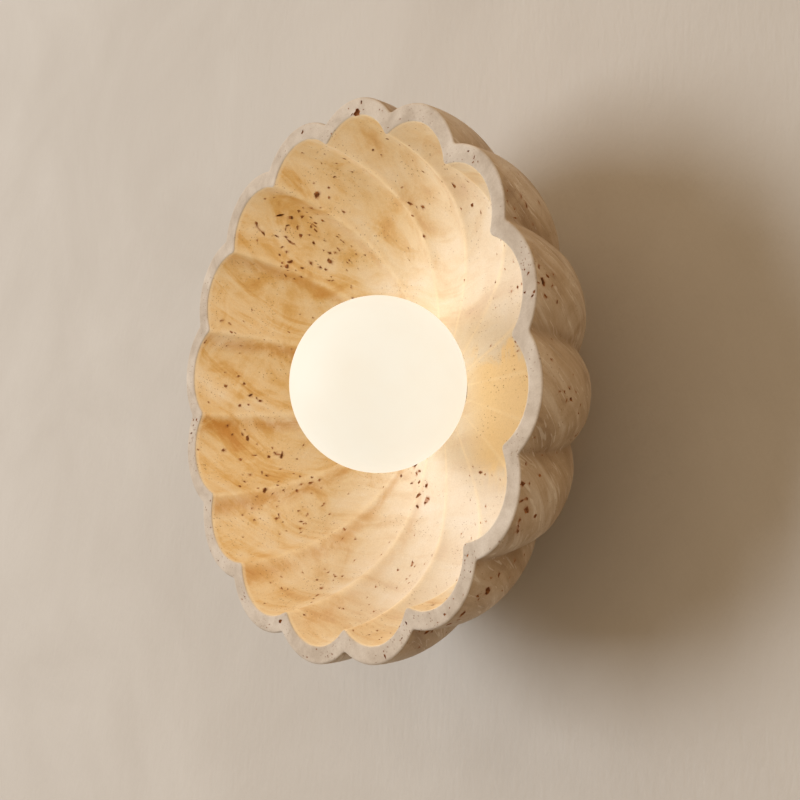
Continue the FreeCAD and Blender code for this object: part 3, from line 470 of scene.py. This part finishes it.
# %% Gather the cutter
INSERT_HOLE, INSERT_CIRCLE = 0.00305, 0.030
INSERT_BACK, INSERT_FRONT = -0.0155, -0.0240
INSERT_ANGLES = (90, 210, 330)
LINING = 1
corners, sides = [], []
for place, axes, half_sizes, kind in pits:
    lump_corners, lump_sides = lumps[kind]
    sides.append(lump_sides + sum(len(group) for group in corners))
    corners.append((lump_corners * np.array(half_sizes)) @ np.array(axes).T + np.array(place))
cutter_mesh = bpy.data.meshes.new("pit_cutter")
cutter_mesh.from_pydata(np.concatenate(corners).tolist(), [], np.concatenate(sides).tolist())
cutter = bpy.data.objects.new("pit_cutter", cutter_mesh)
scene.collection.objects.link(cutter)
travertine = bpy.data.materials["travertine"]
pit_lining = bpy.data.materials.new("pit_lining")
for piece in (bowl, cutter):
    piece.data.materials.append(travertine)
    piece.data.materials.append(pit_lining)
for face in cutter.data.polygons:
    face.material_index = LINING
put_down_tools()
for angle in INSERT_ANGLES:
    turn = math.radians(angle)
    middle = Vector((math.cos(turn), 0, math.sin(turn))) * INSERT_CIRCLE
    middle.y = (INSERT_BACK + INSERT_FRONT) / 2
    bpy.ops.mesh.primitive_cylinder_add(vertices=48, radius=INSERT_HOLE, depth=INSERT_BACK - INSERT_FRONT,
                                        location=middle, rotation=(math.pi / 2, 0, 0))
    bpy.context.object.data.materials.append(travertine)
    cutter.select_set(True)
    bpy.context.view_layer.objects.active = cutter
    bpy.ops.object.join()
print("cutter:", len(cutter.data.polygons), "faces")

# %% Cut
put_down_tools()
bowl.select_set(True)
bpy.context.view_layer.objects.active = bowl
carve = bowl.modifiers.new("pits", "BOOLEAN")
carve.operation = "DIFFERENCE"
carve.object = cutter
carve.solver = "MANIFOLD"
bpy.ops.object.modifier_apply(modifier="pits")
bpy.data.objects.remove(cutter)
bpy.ops.object.shade_smooth_by_angle(angle=math.radians(32))
lined = sum(face.material_index == LINING for face in bowl.data.polygons)
triangles = sum(len(face.vertices) - 2 for face in bowl.data.polygons)
print(len(pits), "pits,", lined, "faces in them,", triangles, "triangles in all")

# %% [markdown]
# ### Marks for the finish
# Four attributes are stored on the stone's vertices. One is 1 on the edge of a pit, where iron has
# stained the stone. One runs from 0 on the outside of the bowl to 1 inside it. The third is 1 on the
# crest of a ridge, which gets a painted highlight inside. Outside, the same places are the valleys
# between the lobes, which get painted shade. The last is 1 just under the ridges on the left, which
# gets painted shade for the shadow that each ridge casts there.

# %% Mark the edges of the pits
stain = bowl.data.attributes.new("stain", "FLOAT", "POINT")
in_stone, in_pit = set(), set()
for face in bowl.data.polygons:
    (in_pit if face.material_index == LINING else in_stone).update(face.vertices)
for corner in in_pit & in_stone:
    stain.data[corner].value = 1.0
print(len(in_pit & in_stone), "vertices on pit edges")

# %% Mark the hollow
places = np.array([vertex.co for vertex in bowl.data.vertices])
depth = places[:, 1] - RIM_LEVEL
radius = np.hypot(places[:, 0], places[:, 2])
turn = np.arctan2(-places[:, 0], places[:, 2])
inner_wall = lobe_edge(turn, LOBE_RADIUS) * np.interp(depth, *zip(*inner_curve))
outer_wall = lobe_edge(turn, LOBE_RADIUS + RIM_WALL) * np.interp(depth, *zip(*outer_curve))
share = np.clip((outer_wall - radius) / (outer_wall - inner_wall), 0, 1) * (depth < BOWL_DEPTH + FOOT_ROUND)
bowl.data.attributes.new("hollow", "FLOAT", "POINT").data.foreach_set("value", share)
print("hollow:", int(np.sum(share > 0.5)), "of", len(share), "vertices")

# %% Mark the crests
CREST_WIDTH = 0.22
from_middle = np.abs((turn - FIRST_RIDGE) % (2 * HALF_FLUTE) - HALF_FLUTE) / HALF_FLUTE
crest = np.clip((from_middle - 1 + CREST_WIDTH) / CREST_WIDTH, 0, 1)
bowl.data.attributes.new("crest", "FLOAT", "POINT").data.foreach_set("value", crest)
print("crests:", int(np.sum(crest > 0.5)), "vertices")

# %% Mark the painted shade under the ridges
PAINTED_SHADE_MIDDLE, PAINTED_SHADE_WIDTH = 0.13, 0.12
under = (turn - FIRST_RIDGE) % (2 * HALF_FLUTE) / (2 * HALF_FLUTE)
dark = np.clip(1 - np.abs(under - PAINTED_SHADE_MIDDLE) / PAINTED_SHADE_WIDTH, 0, 1) * np.clip(np.sin(turn), 0, 1)
bowl.data.attributes.new("dark", "FLOAT", "POINT").data.foreach_set("value", dark)
print("painted shade:", int(np.sum(dark > 0.5)), "vertices")
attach(bowl, "mounted_base")
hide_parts("travertine_bowl")


# %% [markdown]
# ## Building a finish
# Every finish below is a small net of nodes on Object coordinates, in metres. The helper keeps that net
# short: each call adds one node and hands back its output.

# %% A helper for finishes
def tone(red, green, blue):
    """A colour as a screen shows it, 0 to 255, turned into light."""
    parts = [part / 255 for part in (red, green, blue)]
    return [p / 12.92 if p < 0.04045 else ((p + 0.055) / 1.055) ** 2.4 for p in parts] + [1.0]


class Finish:
    """A material under construction, cleared and given a new shader."""

    def __init__(self, material):
        self.material = material
        material.use_nodes = True
        self.nodes = material.node_tree.nodes
        self.links = material.node_tree.links
        self.nodes.clear()
        self.output = self.nodes.new("ShaderNodeOutputMaterial")
        self.shader = self.nodes.new("ShaderNodeBsdfPrincipled")
        self.links.new(self.shader.outputs["BSDF"], self.output.inputs["Surface"])
        self.place = self.nodes.new("ShaderNodeTexCoord").outputs["Object"]

    def feed(self, value, socket):
        """Links an output to a socket, or sets a plain value on it."""
        if isinstance(value, bpy.types.NodeSocket):
            self.links.new(value, socket)
        else:
            socket.default_value = value

    def set(self, **values):
        for name, value in values.items():
            self.feed(value, self.shader.inputs[name.replace("_", " ")])

    def stretched(self, x, y, z, source=None, tilt=0.0):
        node = self.nodes.new("ShaderNodeMapping")
        node.inputs["Scale"].default_value = (x, y, z)
        node.inputs["Rotation"].default_value = (tilt, 0, 0)
        self.feed(source or self.place, node.inputs["Vector"])
        return node.outputs["Vector"]

    def noise(self, scale, detail=3.0, roughness=0.55, distortion=0.0, source=None):
        node = self.nodes.new("ShaderNodeTexNoise")
        self.feed(source or self.place, node.inputs["Vector"])
        for name, value in (("Scale", scale), ("Detail", detail), ("Roughness", roughness),
                            ("Distortion", distortion)):
            node.inputs[name].default_value = value
        return node.outputs["Fac"]

    def cells(self, scale, source=None, feature="F1"):
        node = self.nodes.new("ShaderNodeTexVoronoi")
        node.feature = feature
        self.feed(source or self.place, node.inputs["Vector"])
        node.inputs["Scale"].default_value = scale
        return node.outputs["Distance"]

    def fluted(self, around, along):
        """Coordinates that hardly change along a flute: its direction from the axis, and its depth."""
        flat = self.nodes.new("ShaderNodeVectorMath")
        flat.operation = "NORMALIZE"
        self.feed(self.stretched(1, 0, 1), flat.inputs[0])
        joined = self.nodes.new("ShaderNodeVectorMath")
        joined.operation = "MULTIPLY_ADD"
        self.feed(flat.outputs["Vector"], joined.inputs[0])
        joined.inputs[1].default_value = (around,) * 3
        self.feed(self.stretched(0, along, 0), joined.inputs[2])
        return joined.outputs["Vector"]

    def level(self, axis):
        node = self.nodes.new("ShaderNodeSeparateXYZ")
        self.feed(self.place, node.inputs["Vector"])
        return node.outputs[axis]

    def step(self, value, low, high, first=0.0, last=1.0):
        """A smooth step from first to last as the value goes from low to high."""
        node = self.nodes.new("ShaderNodeMapRange")
        node.interpolation_type = "SMOOTHSTEP"
        for index, given in enumerate((value, low, high, first, last)):
            self.feed(given, node.inputs[index])
        return node.outputs["Result"]

    def maths(self, operation, first, second=0.5):
        node = self.nodes.new("ShaderNodeMath")
        node.operation = operation
        self.feed(first, node.inputs[0])
        self.feed(second, node.inputs[1])
        return node.outputs["Value"]

    def ramp(self, value, stops):
        node = self.nodes.new("ShaderNodeValToRGB")
        self.feed(value, node.inputs["Fac"])
        while len(node.color_ramp.elements) < len(stops):
            node.color_ramp.elements.new(0.5)
        for element, (position, colour) in zip(node.color_ramp.elements, stops):
            element.position = position
            element.color = colour
        return node.outputs["Color"]

    def mix(self, share, first, second, blend="MIX"):
        node = self.nodes.new("ShaderNodeMix")
        node.data_type = "RGBA"
        node.blend_type = blend
        colours = [socket for socket in node.inputs if socket.type == "RGBA"]
        self.feed(share, node.inputs[0])
        self.feed(first, colours[0])
        self.feed(second, colours[1])
        return [socket for socket in node.outputs if socket.type == "RGBA"][0]

    def own(self, attribute):
        node = self.nodes.new("ShaderNodeAttribute")
        node.attribute_name = attribute
        return node.outputs["Fac"]

    def warp(self, source, size, strength):
        """Coordinates pushed about by a slow noise, for wavy layers."""
        node = self.nodes.new("ShaderNodeTexNoise")
        self.feed(source, node.inputs["Vector"])
        node.inputs["Scale"].default_value = size
        node.inputs["Detail"].default_value = 2.0
        push = self.nodes.new("ShaderNodeVectorMath")
        push.operation = "MULTIPLY_ADD"
        self.links.new(node.outputs["Color"], push.inputs[0])
        push.inputs[1].default_value = (strength,) * 3
        self.feed(source, push.inputs[2])
        return push.outputs["Vector"]

    def bump(self, height, strength, distance):
        node = self.nodes.new("ShaderNodeBump")
        node.inputs["Strength"].default_value = strength
        node.inputs["Distance"].default_value = distance
        self.feed(height, node.inputs["Height"])
        self.feed(node.outputs["Normal"], self.shader.inputs["Normal"])


# %% [markdown]
# ## Travertine
# The layers of the block slope, so they run along the upper flutes, across the lower ones and slantwise
# over the sides. They show as honey and amber bands and thin veins with clouds between them. So the
# colour is a noise in tilted coordinates, squeezed across the layers and pushed about by a slower
# noise. A few things are placed where this block has them. Paler stone on the right, more so towards
# the floor, which is partly the stone's own tone and partly painted light where daylight and the globe's
# glow fall, with one golden layer in it. Painted shade under the ridges on the left, where each ridge
# shades the flute below it. The crests inside and the inner edge of the rim get a painted highlight,
# and the valleys outside get painted shade. The flat rim was only honed and stays pale and dull, while
# the carved faces were sealed, which makes them warmer and a little glossy.

# %% Layers and clouds
stone = Finish(travertine)
wavy = stone.warp(stone.stretched(1, 1, 1, tilt=LAYER_TILT), 11.0, 0.04)
bands = stone.noise(1.0, 6.0, 0.58, 0.4, stone.stretched(12, 66, 12, wavy))
clouds = stone.noise(36.0, 7.0, 0.66, 0.9)
layers = stone.maths("ADD", stone.maths("MULTIPLY", bands, 0.58), stone.maths("MULTIPLY", clouds, 0.42))
veins = stone.noise(1.0, 3.0, 0.5, 0.3, stone.stretched(9, 120, 9, wavy))
veins = stone.step(veins, 0.55, 0.60, 0.0, 0.04)
layers = stone.maths("SUBTRACT", layers, veins)

# %% Honey inside, paler on the right (more so towards the floor, partly painted light), with one golden layer there
strokes = stone.noise(1.0, 3.0, 0.6, 0.6, stone.fluted(24.0, 55.0))
strokes = stone.maths("MULTIPLY", stone.step(strokes, 0.3, 0.7, -1.0, 1.0),
                      stone.step(stone.level("Y"), -0.045, -0.085, 0.004, 0.018))
stroked = stone.maths("ADD", layers, strokes)
honey = stone.ramp(stroked, [(0.35, tone(206, 154, 82)), (0.42, tone(222, 185, 122)),
                             (0.49, tone(233, 208, 164)), (0.57, tone(238, 220, 190)),
                             (0.67, tone(241, 231, 214))])
# Paler on the right, more so towards the floor: partly the stone's own paler tone, partly painted light
# standing for the daylight and the globe's glow that fall there.
rightward = stone.maths("SUBTRACT", stone.level("X"), stone.maths("MULTIPLY", stone.level("Z"), 0.4))
deep = stone.step(stone.level("Y"), -0.098, -0.052, 0.30, 0.72)
paler_tone_and_painted_light = stone.maths("MULTIPLY", stone.step(rightward, -0.115, 0.065), deep)
honey = stone.mix(paler_tone_and_painted_light, honey, tone(214, 206, 198))
ragged = stone.maths("ADD", stone.level("Z"), stone.step(clouds, 0.3, 0.7, -0.009, 0.009))
golden = stone.maths("MULTIPLY", stone.step(ragged, 0.024, 0.014), stone.step(ragged, -0.060, -0.036))
golden = stone.maths("MULTIPLY", golden, stone.step(stone.level("X"), 0.012, 0.040, 0.0, 0.6))
honey = stone.mix(golden, honey, tone(240, 206, 136))
# Painted shade: on the left, a darker honey just under each ridge stands for the shadow the ridge casts on
# the flute below it.
deeper = stone.maths("MULTIPLY", stone.own("dark"), stone.step(clouds, 0.62, 0.42, 0.15, 0.75))
honey = stone.mix(deeper, honey, tone(200, 145, 72))
# Painted highlight: the crests of the ridges are painted paler, standing for the light they catch.
sanded = stone.maths("MULTIPLY", stone.step(stone.own("crest"), 0.2, 1.0),
                     stone.step(clouds, 0.35, 0.6, 0.2, 0.5))
honey = stone.mix(sanded, honey, tone(240, 222, 190))

# %% Taupe outside, with pale streaks and painted shade in the valleys
taupe = stone.ramp(layers, [(0.36, tone(168, 140, 108)), (0.47, tone(192, 166, 134)),
                            (0.56, tone(206, 184, 156)), (0.66, tone(220, 204, 182))])
streaks = stone.noise(1.0, 3.0, 0.6, 0.3, stone.stretched(22, 130, 22, wavy))
taupe = stone.mix(stone.step(streaks, 0.56, 0.70, 0.0, 0.40), taupe, tone(230, 217, 198))
# Painted shade: the valleys between the outer lobes are darkened where the lobes shade them.
taupe = stone.mix(stone.step(stone.own("crest"), 0.1, 1.0, 0.0, 0.4), taupe, tone(152, 120, 86))
scratches = stone.noise(1.0, 2.0, 0.5, 1.2, stone.stretched(60, 420, 60, wavy))
taupe = stone.mix(stone.step(scratches, 0.61, 0.68, 0.0, 0.45), taupe, tone(238, 227, 210))
carved = stone.mix(stone.step(stone.own("hollow"), 0.3, 0.7), taupe, honey)

# %% The honed rim
paler = stone.noise(1.0, 4.0, 0.6, 0.2, stone.stretched(70, 70, 70, wavy))
honed = stone.ramp(paler, [(0.32, tone(192, 179, 164)), (0.5, tone(209, 198, 185)),
                           (0.7, tone(224, 215, 204))])
on_rim = stone.step(stone.level("Y"), -0.1051, -0.1058)
# Painted highlight: a pale cream line on the inner edge of the rim, where it catches the globe's light.
painted_rim_edge_highlight = stone.step(stone.level("Y"), -0.1030, -0.1048, 0.0, 0.6)
painted_rim_edge_highlight = stone.maths("MULTIPLY", painted_rim_edge_highlight, stone.step(stone.own("hollow"), 0.5, 0.9))
colour = stone.mix(on_rim, stone.mix(painted_rim_edge_highlight, carved, tone(242, 229, 206)), honed)

# %% Specks, stains, gloss and the marks of the chisel outside
CHISEL_DEPTH = 3.2
fine = stone.cells(430.0, stone.stretched(1.0, 1.7, 1.0, wavy))
crowded = stone.step(stone.noise(60.0, 2.0), 0.46, 0.58)
specks = stone.maths("MULTIPLY", stone.step(fine, 0.12, 0.22, 1.0, 0.0), crowded)
colour = stone.mix(stone.maths("MULTIPLY", specks, 0.58), colour, tone(140, 92, 50))
rusty = stone.maths("POWER", stone.own("stain"), 3.0)
rusty = stone.maths("MULTIPLY", rusty, stone.step(on_rim, 0.0, 1.0, 0.8, 0.3))
colour = stone.mix(rusty, colour, tone(166, 104, 50))
grain = stone.noise(1300.0, 2.0)
speckle = stone.ramp(grain, [(0.35, tone(172, 150, 124)), (0.65, tone(255, 252, 246))])
colour = stone.mix(0.12, colour, speckle, "MULTIPLY")
gloss = stone.maths("ADD", stone.step(on_rim, 0.0, 1.0, 0.46, 0.62), stone.maths("MULTIPLY", clouds, 0.16))
stone.set(Base_Color=colour, Roughness=gloss, Specular_IOR_Level=0.36)
chiselled = stone.noise(1.0, 5.0, 0.62, 0.8, stone.stretched(85, 150, 85, wavy))
outside = stone.maths("MULTIPLY", stone.step(stone.own("hollow"), 0.5, 0.2),
                      stone.step(on_rim, 0.0, 1.0, CHISEL_DEPTH, 0.0))
relief = stone.maths("SUBTRACT", stone.maths("MULTIPLY", chiselled, outside), specks)
stone.bump(stone.maths("ADD", stone.maths("MULTIPLY", grain, 0.2), relief), 0.45, 0.0005)
print("travertine:", len(stone.nodes), "nodes")

# %% The lining of the pits
lining = Finish(pit_lining)
crust = lining.noise(520.0, 3.0)
crusty = lining.ramp(crust, [(0.3, tone(98, 56, 24)), (0.5, tone(144, 88, 42)), (0.7, tone(190, 128, 68))])
lining.set(Base_Color=crusty, Roughness=lining.step(crust, 0.3, 0.7, 0.7, 0.95))
lining.bump(crust, 0.6, 0.0005)
print("pit lining:", len(lining.nodes), "nodes")

# %% [markdown]
# ## The globe
# The globe is etched opal glass, lit from inside: it is an even warm white with hardly any shading. The
# construction model's ball is right, so it keeps its mesh. Its finish glows by itself just below white,
# with the faint clouds that opal glass has, and the light on the stone comes from a round lamp inside
# it, which passes the glass.

# %% Opal glass
opal = Finish(bpy.data.materials["opal_glass"])
milk = opal.noise(26.0, 3.0)
opal.set(Base_Color=opal.ramp(milk, [(0.3, tone(94, 93, 90)), (0.7, tone(104, 103, 100))]),
         Emission_Color=opal.ramp(milk, [(0.3, tone(255, 243, 221)), (0.7, tone(255, 246, 227))]),
         Emission_Strength=0.87, Roughness=opal.step(milk, 0.3, 0.7, 0.55, 0.65), Specular_IOR_Level=0.25)
opal.bump(opal.noise(220.0, 2.0), 0.04, 0.0003)
globe_low, globe_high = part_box("glass_globe")
GLOBE_RADIUS = (globe_high.x - globe_low.x) / 2
globe_middle = Vector((0, globe_low.y + GLOBE_RADIUS, 0))
print("globe", round(2 * GLOBE_RADIUS, 4), "m across, middle", round(-globe_middle.y, 4), "m off the wall")

# %% [markdown]
# ## Metals
# Behind the stone sit a zinc-plated wall plate and its screws, a powder-coated plate, and turned brass.
# Bare metals get a slow noise for the cloudiness of plating and a fine one for the marks of turning and
# handling.


# %% Metal finishes
def metal(slot, dark, light, smooth, rough, cloud=90.0):
    finish = Finish(bpy.data.materials[slot])
    cloudy = finish.noise(cloud, 4.0, 0.6, 0.4)
    marks = finish.noise(1600.0, 2.0)
    finish.set(Base_Color=finish.ramp(cloudy, [(0.35, tone(*dark)), (0.65, tone(*light))]), Metallic=1.0,
               Roughness=finish.step(cloudy, 0.3, 0.7, smooth, rough))
    finish.bump(marks, 0.08, 0.0002)
    return finish


metal("zinc_steel", (150, 154, 160), (192, 195, 198), 0.30, 0.48)
metal("brass", (176, 138, 74), (212, 176, 108), 0.22, 0.36, 60.0)
metal("contact_metal", (160, 156, 148), (200, 196, 186), 0.25, 0.40)
coat = Finish(bpy.data.materials["black_steel"])
peel = coat.noise(900.0, 2.0)
coat.set(Base_Color=coat.ramp(peel, [(0.3, tone(26, 26, 27)), (0.7, tone(40, 40, 41))]),
         Roughness=coat.step(peel, 0.3, 0.7, 0.45, 0.60))
coat.bump(peel, 0.25, 0.0003)
print("metals: zinc_steel, brass, contact_metal, black_steel")

# %% [markdown]
# ## Foam, rubber, ceramic and plastic
# The rest is hidden when the lamp hangs, but is seen when the globe is off or the lamp is taken down.
# Each of these is one colour in two close tones, with its own grain.


# %% Soft and moulded finishes
def moulded(slot, dark, light, smooth, rough, grain_size, height):
    finish = Finish(bpy.data.materials[slot])
    tones = finish.noise(grain_size, 3.0)
    finish.set(Base_Color=finish.ramp(tones, [(0.3, tone(*dark)), (0.7, tone(*light))]),
               Roughness=finish.step(tones, 0.3, 0.7, smooth, rough))
    finish.bump(tones, 0.3, height)
    return finish


moulded("foam", (52, 52, 54), (76, 76, 78), 0.85, 0.98, 900.0, 0.0006)
moulded("black_rubber", (22, 22, 23), (38, 38, 38), 0.55, 0.75, 700.0, 0.0002)
moulded("silicone", (206, 202, 194), (224, 221, 214), 0.40, 0.55, 300.0, 0.0002)
moulded("steatite", (222, 214, 198), (238, 232, 220), 0.25, 0.40, 400.0, 0.0002)
moulded("brown_lead", (88, 54, 34), (110, 70, 46), 0.35, 0.50, 500.0, 0.0001)
moulded("blue_lead", (38, 78, 142), (56, 100, 168), 0.35, 0.50, 500.0, 0.0001)
moulded("terminal_plastic", (214, 206, 186), (228, 222, 206), 0.35, 0.50, 600.0, 0.0001)
moulded("bulb_plastic", (226, 226, 222), (240, 240, 236), 0.30, 0.45, 500.0, 0.0001)
moulded("bulb_ceramic", (228, 228, 224), (244, 244, 240), 0.40, 0.55, 400.0, 0.0001)
moulded("phosphor", (220, 176, 48), (240, 204, 84), 0.45, 0.65, 800.0, 0.0001)
cover = moulded("clear_cover", (240, 240, 238), (252, 252, 250), 0.05, 0.14, 200.0, 0.0001)
cover.set(Transmission_Weight=0.9, IOR=1.49)
dressed = {finish.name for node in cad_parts.values() for finish in node.data.materials}
print("dressed slots:", len(dressed))

# %% [markdown]
# ## The room
# The lamp hangs on a plain plastered wall, so the stage is that wall and nothing more. From behind, the
# plaster lets the eye through, so that the lamp's back can be looked at, and some light reaches the
# back there.

# %% Plastered wall
put_down_tools()
bpy.ops.mesh.primitive_plane_add(size=14.0, location=(0, 0.0006, 0), rotation=(math.radians(90), 0, 0))
wall = bpy.context.object
wall.name = "plaster_wall"
bpy.ops.object.transform_apply(location=True, rotation=True)
plaster = Finish(bpy.data.materials.new("plaster"))
brushed = plaster.noise(6.0, 5.0, 0.6, 0.6)
pale = plaster.ramp(brushed, [(0.3, tone(200, 196, 191)), (0.7, tone(209, 206, 202))])
plaster.set(Base_Color=pale, Roughness=0.9)
trowelled = plaster.noise(1.0, 3.0, 0.6, 0.3, plaster.stretched(260, 260, 90))
plaster.bump(plaster.maths("ADD", plaster.noise(38.0, 4.0, 0.6), trowelled), 0.16, 0.002)
wall.data.materials.append(plaster.material)

# %% See through the wall from behind
BACK_WINDOW = 0.075
clear = plaster.nodes.new("ShaderNodeBsdfTransparent")
either = plaster.nodes.new("ShaderNodeMixShader")
from_behind = plaster.nodes.new("ShaderNodeNewGeometry").outputs["Backfacing"]
eye = plaster.nodes.new("ShaderNodeLightPath").outputs["Is Camera Ray"]
off_axis = plaster.nodes.new("ShaderNodeVectorMath")
off_axis.operation = "LENGTH"
plaster.feed(plaster.place, off_axis.inputs[0])
near = plaster.maths("LESS_THAN", off_axis.outputs["Value"], BACK_WINDOW)
lit_back = plaster.maths("MULTIPLY", near, plaster.maths("SUBTRACT", 1.0, eye))
plaster.feed(plaster.maths("MAXIMUM", from_behind, lit_back), either.inputs[0])
plaster.feed(plaster.shader.outputs["BSDF"], either.inputs[1])
plaster.feed(clear.outputs["BSDF"], either.inputs[2])
plaster.feed(either.outputs["Shader"], plaster.output.inputs["Surface"])
print("wall faces", tuple(round(n, 2) for n in wall.data.polygons[0].normal))

# %% [markdown]
# ## Light
# One large window far to the left, a little higher than the lamp, throws the soft shadow to the right.
# A warm room fills that shadow. It is brighter above than below, which brings out ridges and lobes
# better than an even fill would, and a faint bounce comes from the right. The globe adds its own glow
# to the flutes, with a soft linear falloff, so that the floor beside it isn't burnt out. Only the
# stone, the cup and the plates stop that glow, and it is sampled plainly, because multiple importance
# sampling left patches with hard edges in the flutes.


# %% Lamps
def place_lamp(name, kind, energy, place, colour, size):
    put_down_tools()
    bpy.ops.object.light_add(type=kind, location=place)
    lamp = bpy.context.object
    lamp.name = name
    lamp.data.energy = energy
    lamp.data.color = colour
    lamp.visible_camera = False
    if kind == "AREA":
        lamp.data.size = size
        lamp.rotation_euler = (AIM - lamp.location).to_track_quat("-Z", "Y").to_euler()
    else:
        lamp.data.shadow_soft_size = size
    return lamp


WINDOW_AWAY, WINDOW_TURN, WINDOW_HEIGHT = 6.0, math.radians(42), 0.55
DAYLIGHT, WARM, GLOWING = (0.95, 0.98, 1.0), (1.0, 0.78, 0.54), (1.0, 0.88, 0.68)
WINDOW_WATTS, BOUNCE_WATTS, GLOW_WATTS = 244.0, 6.8, 1.38
GLOW_SMOOTH = 0.0007
window_place = (-WINDOW_AWAY * math.sin(WINDOW_TURN), -WINDOW_AWAY * math.cos(WINDOW_TURN), WINDOW_HEIGHT)
place_lamp("window", "AREA", WINDOW_WATTS, window_place, DAYLIGHT, 2.8)
place_lamp("bounce", "AREA", BOUNCE_WATTS, (2.5, -1.8, 0.3), WARM, 2.0)
glow = place_lamp("globe_light", "POINT", GLOW_WATTS, globe_middle, GLOWING, 0.85 * GLOBE_RADIUS)
glow.data.use_nodes = True
gentle = glow.data.node_tree.nodes.new("ShaderNodeLightFalloff")
gentle.inputs["Strength"].default_value = 1.0
gentle.inputs["Smooth"].default_value = GLOW_SMOOTH
glow_strength = glow.data.node_tree.nodes["Emission"].inputs["Strength"]
glow.data.node_tree.links.new(gentle.outputs["Linear"], glow_strength)
opaque = bpy.data.collections.new("stops_light")
opaque.objects.link(bowl)
for name in ("globe_cup", "shade_plate", "wall_plate"):
    opaque.objects.link(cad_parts[name])
glow.light_linking.blocker_collection = opaque
glow.data.cycles.use_multiple_importance_sampling = False

# %% Room
LIGHT_BELOW, LIGHT_ABOVE = 0.04, 0.82
world = bpy.data.worlds.new("warm_room")
scene.world = world
world.use_nodes = True
room = world.node_tree
fill = room.nodes["Background"]
fill.inputs["Color"].default_value = (1.0, 0.72, 0.44, 1.0)
height = room.nodes.new("ShaderNodeSeparateXYZ")
room.links.new(room.nodes.new("ShaderNodeTexCoord").outputs["Generated"], height.inputs["Vector"])
shade = room.nodes.new("ShaderNodeMapRange")
room.links.new(height.outputs["Z"], shade.inputs["Value"])
shade.inputs["From Min"].default_value = -1.0
shade.inputs["To Min"].default_value = LIGHT_BELOW
shade.inputs["To Max"].default_value = LIGHT_ABOVE
room.links.new(shade.outputs["Result"], fill.inputs["Strength"])
backdrop = room.nodes.new("ShaderNodeBackground")
backdrop.inputs["Color"].default_value = tone(214, 205, 194)
ray = room.nodes.new("ShaderNodeLightPath")
choice = room.nodes.new("ShaderNodeMixShader")
seen = ray.outputs["Is Camera Ray"]
for kind in ("Is Glossy Ray", "Is Transmission Ray"):
    either = room.nodes.new("ShaderNodeMath")
    either.operation = "MAXIMUM"
    room.links.new(seen, either.inputs[0])
    room.links.new(ray.outputs[kind], either.inputs[1])
    seen = either.outputs["Value"]
room.links.new(seen, choice.inputs[0])
room.links.new(fill.outputs["Background"], choice.inputs[1])
room.links.new(backdrop.outputs["Background"], choice.inputs[2])
room.links.new(choice.outputs["Shader"], room.nodes["World Output"].inputs["Surface"])
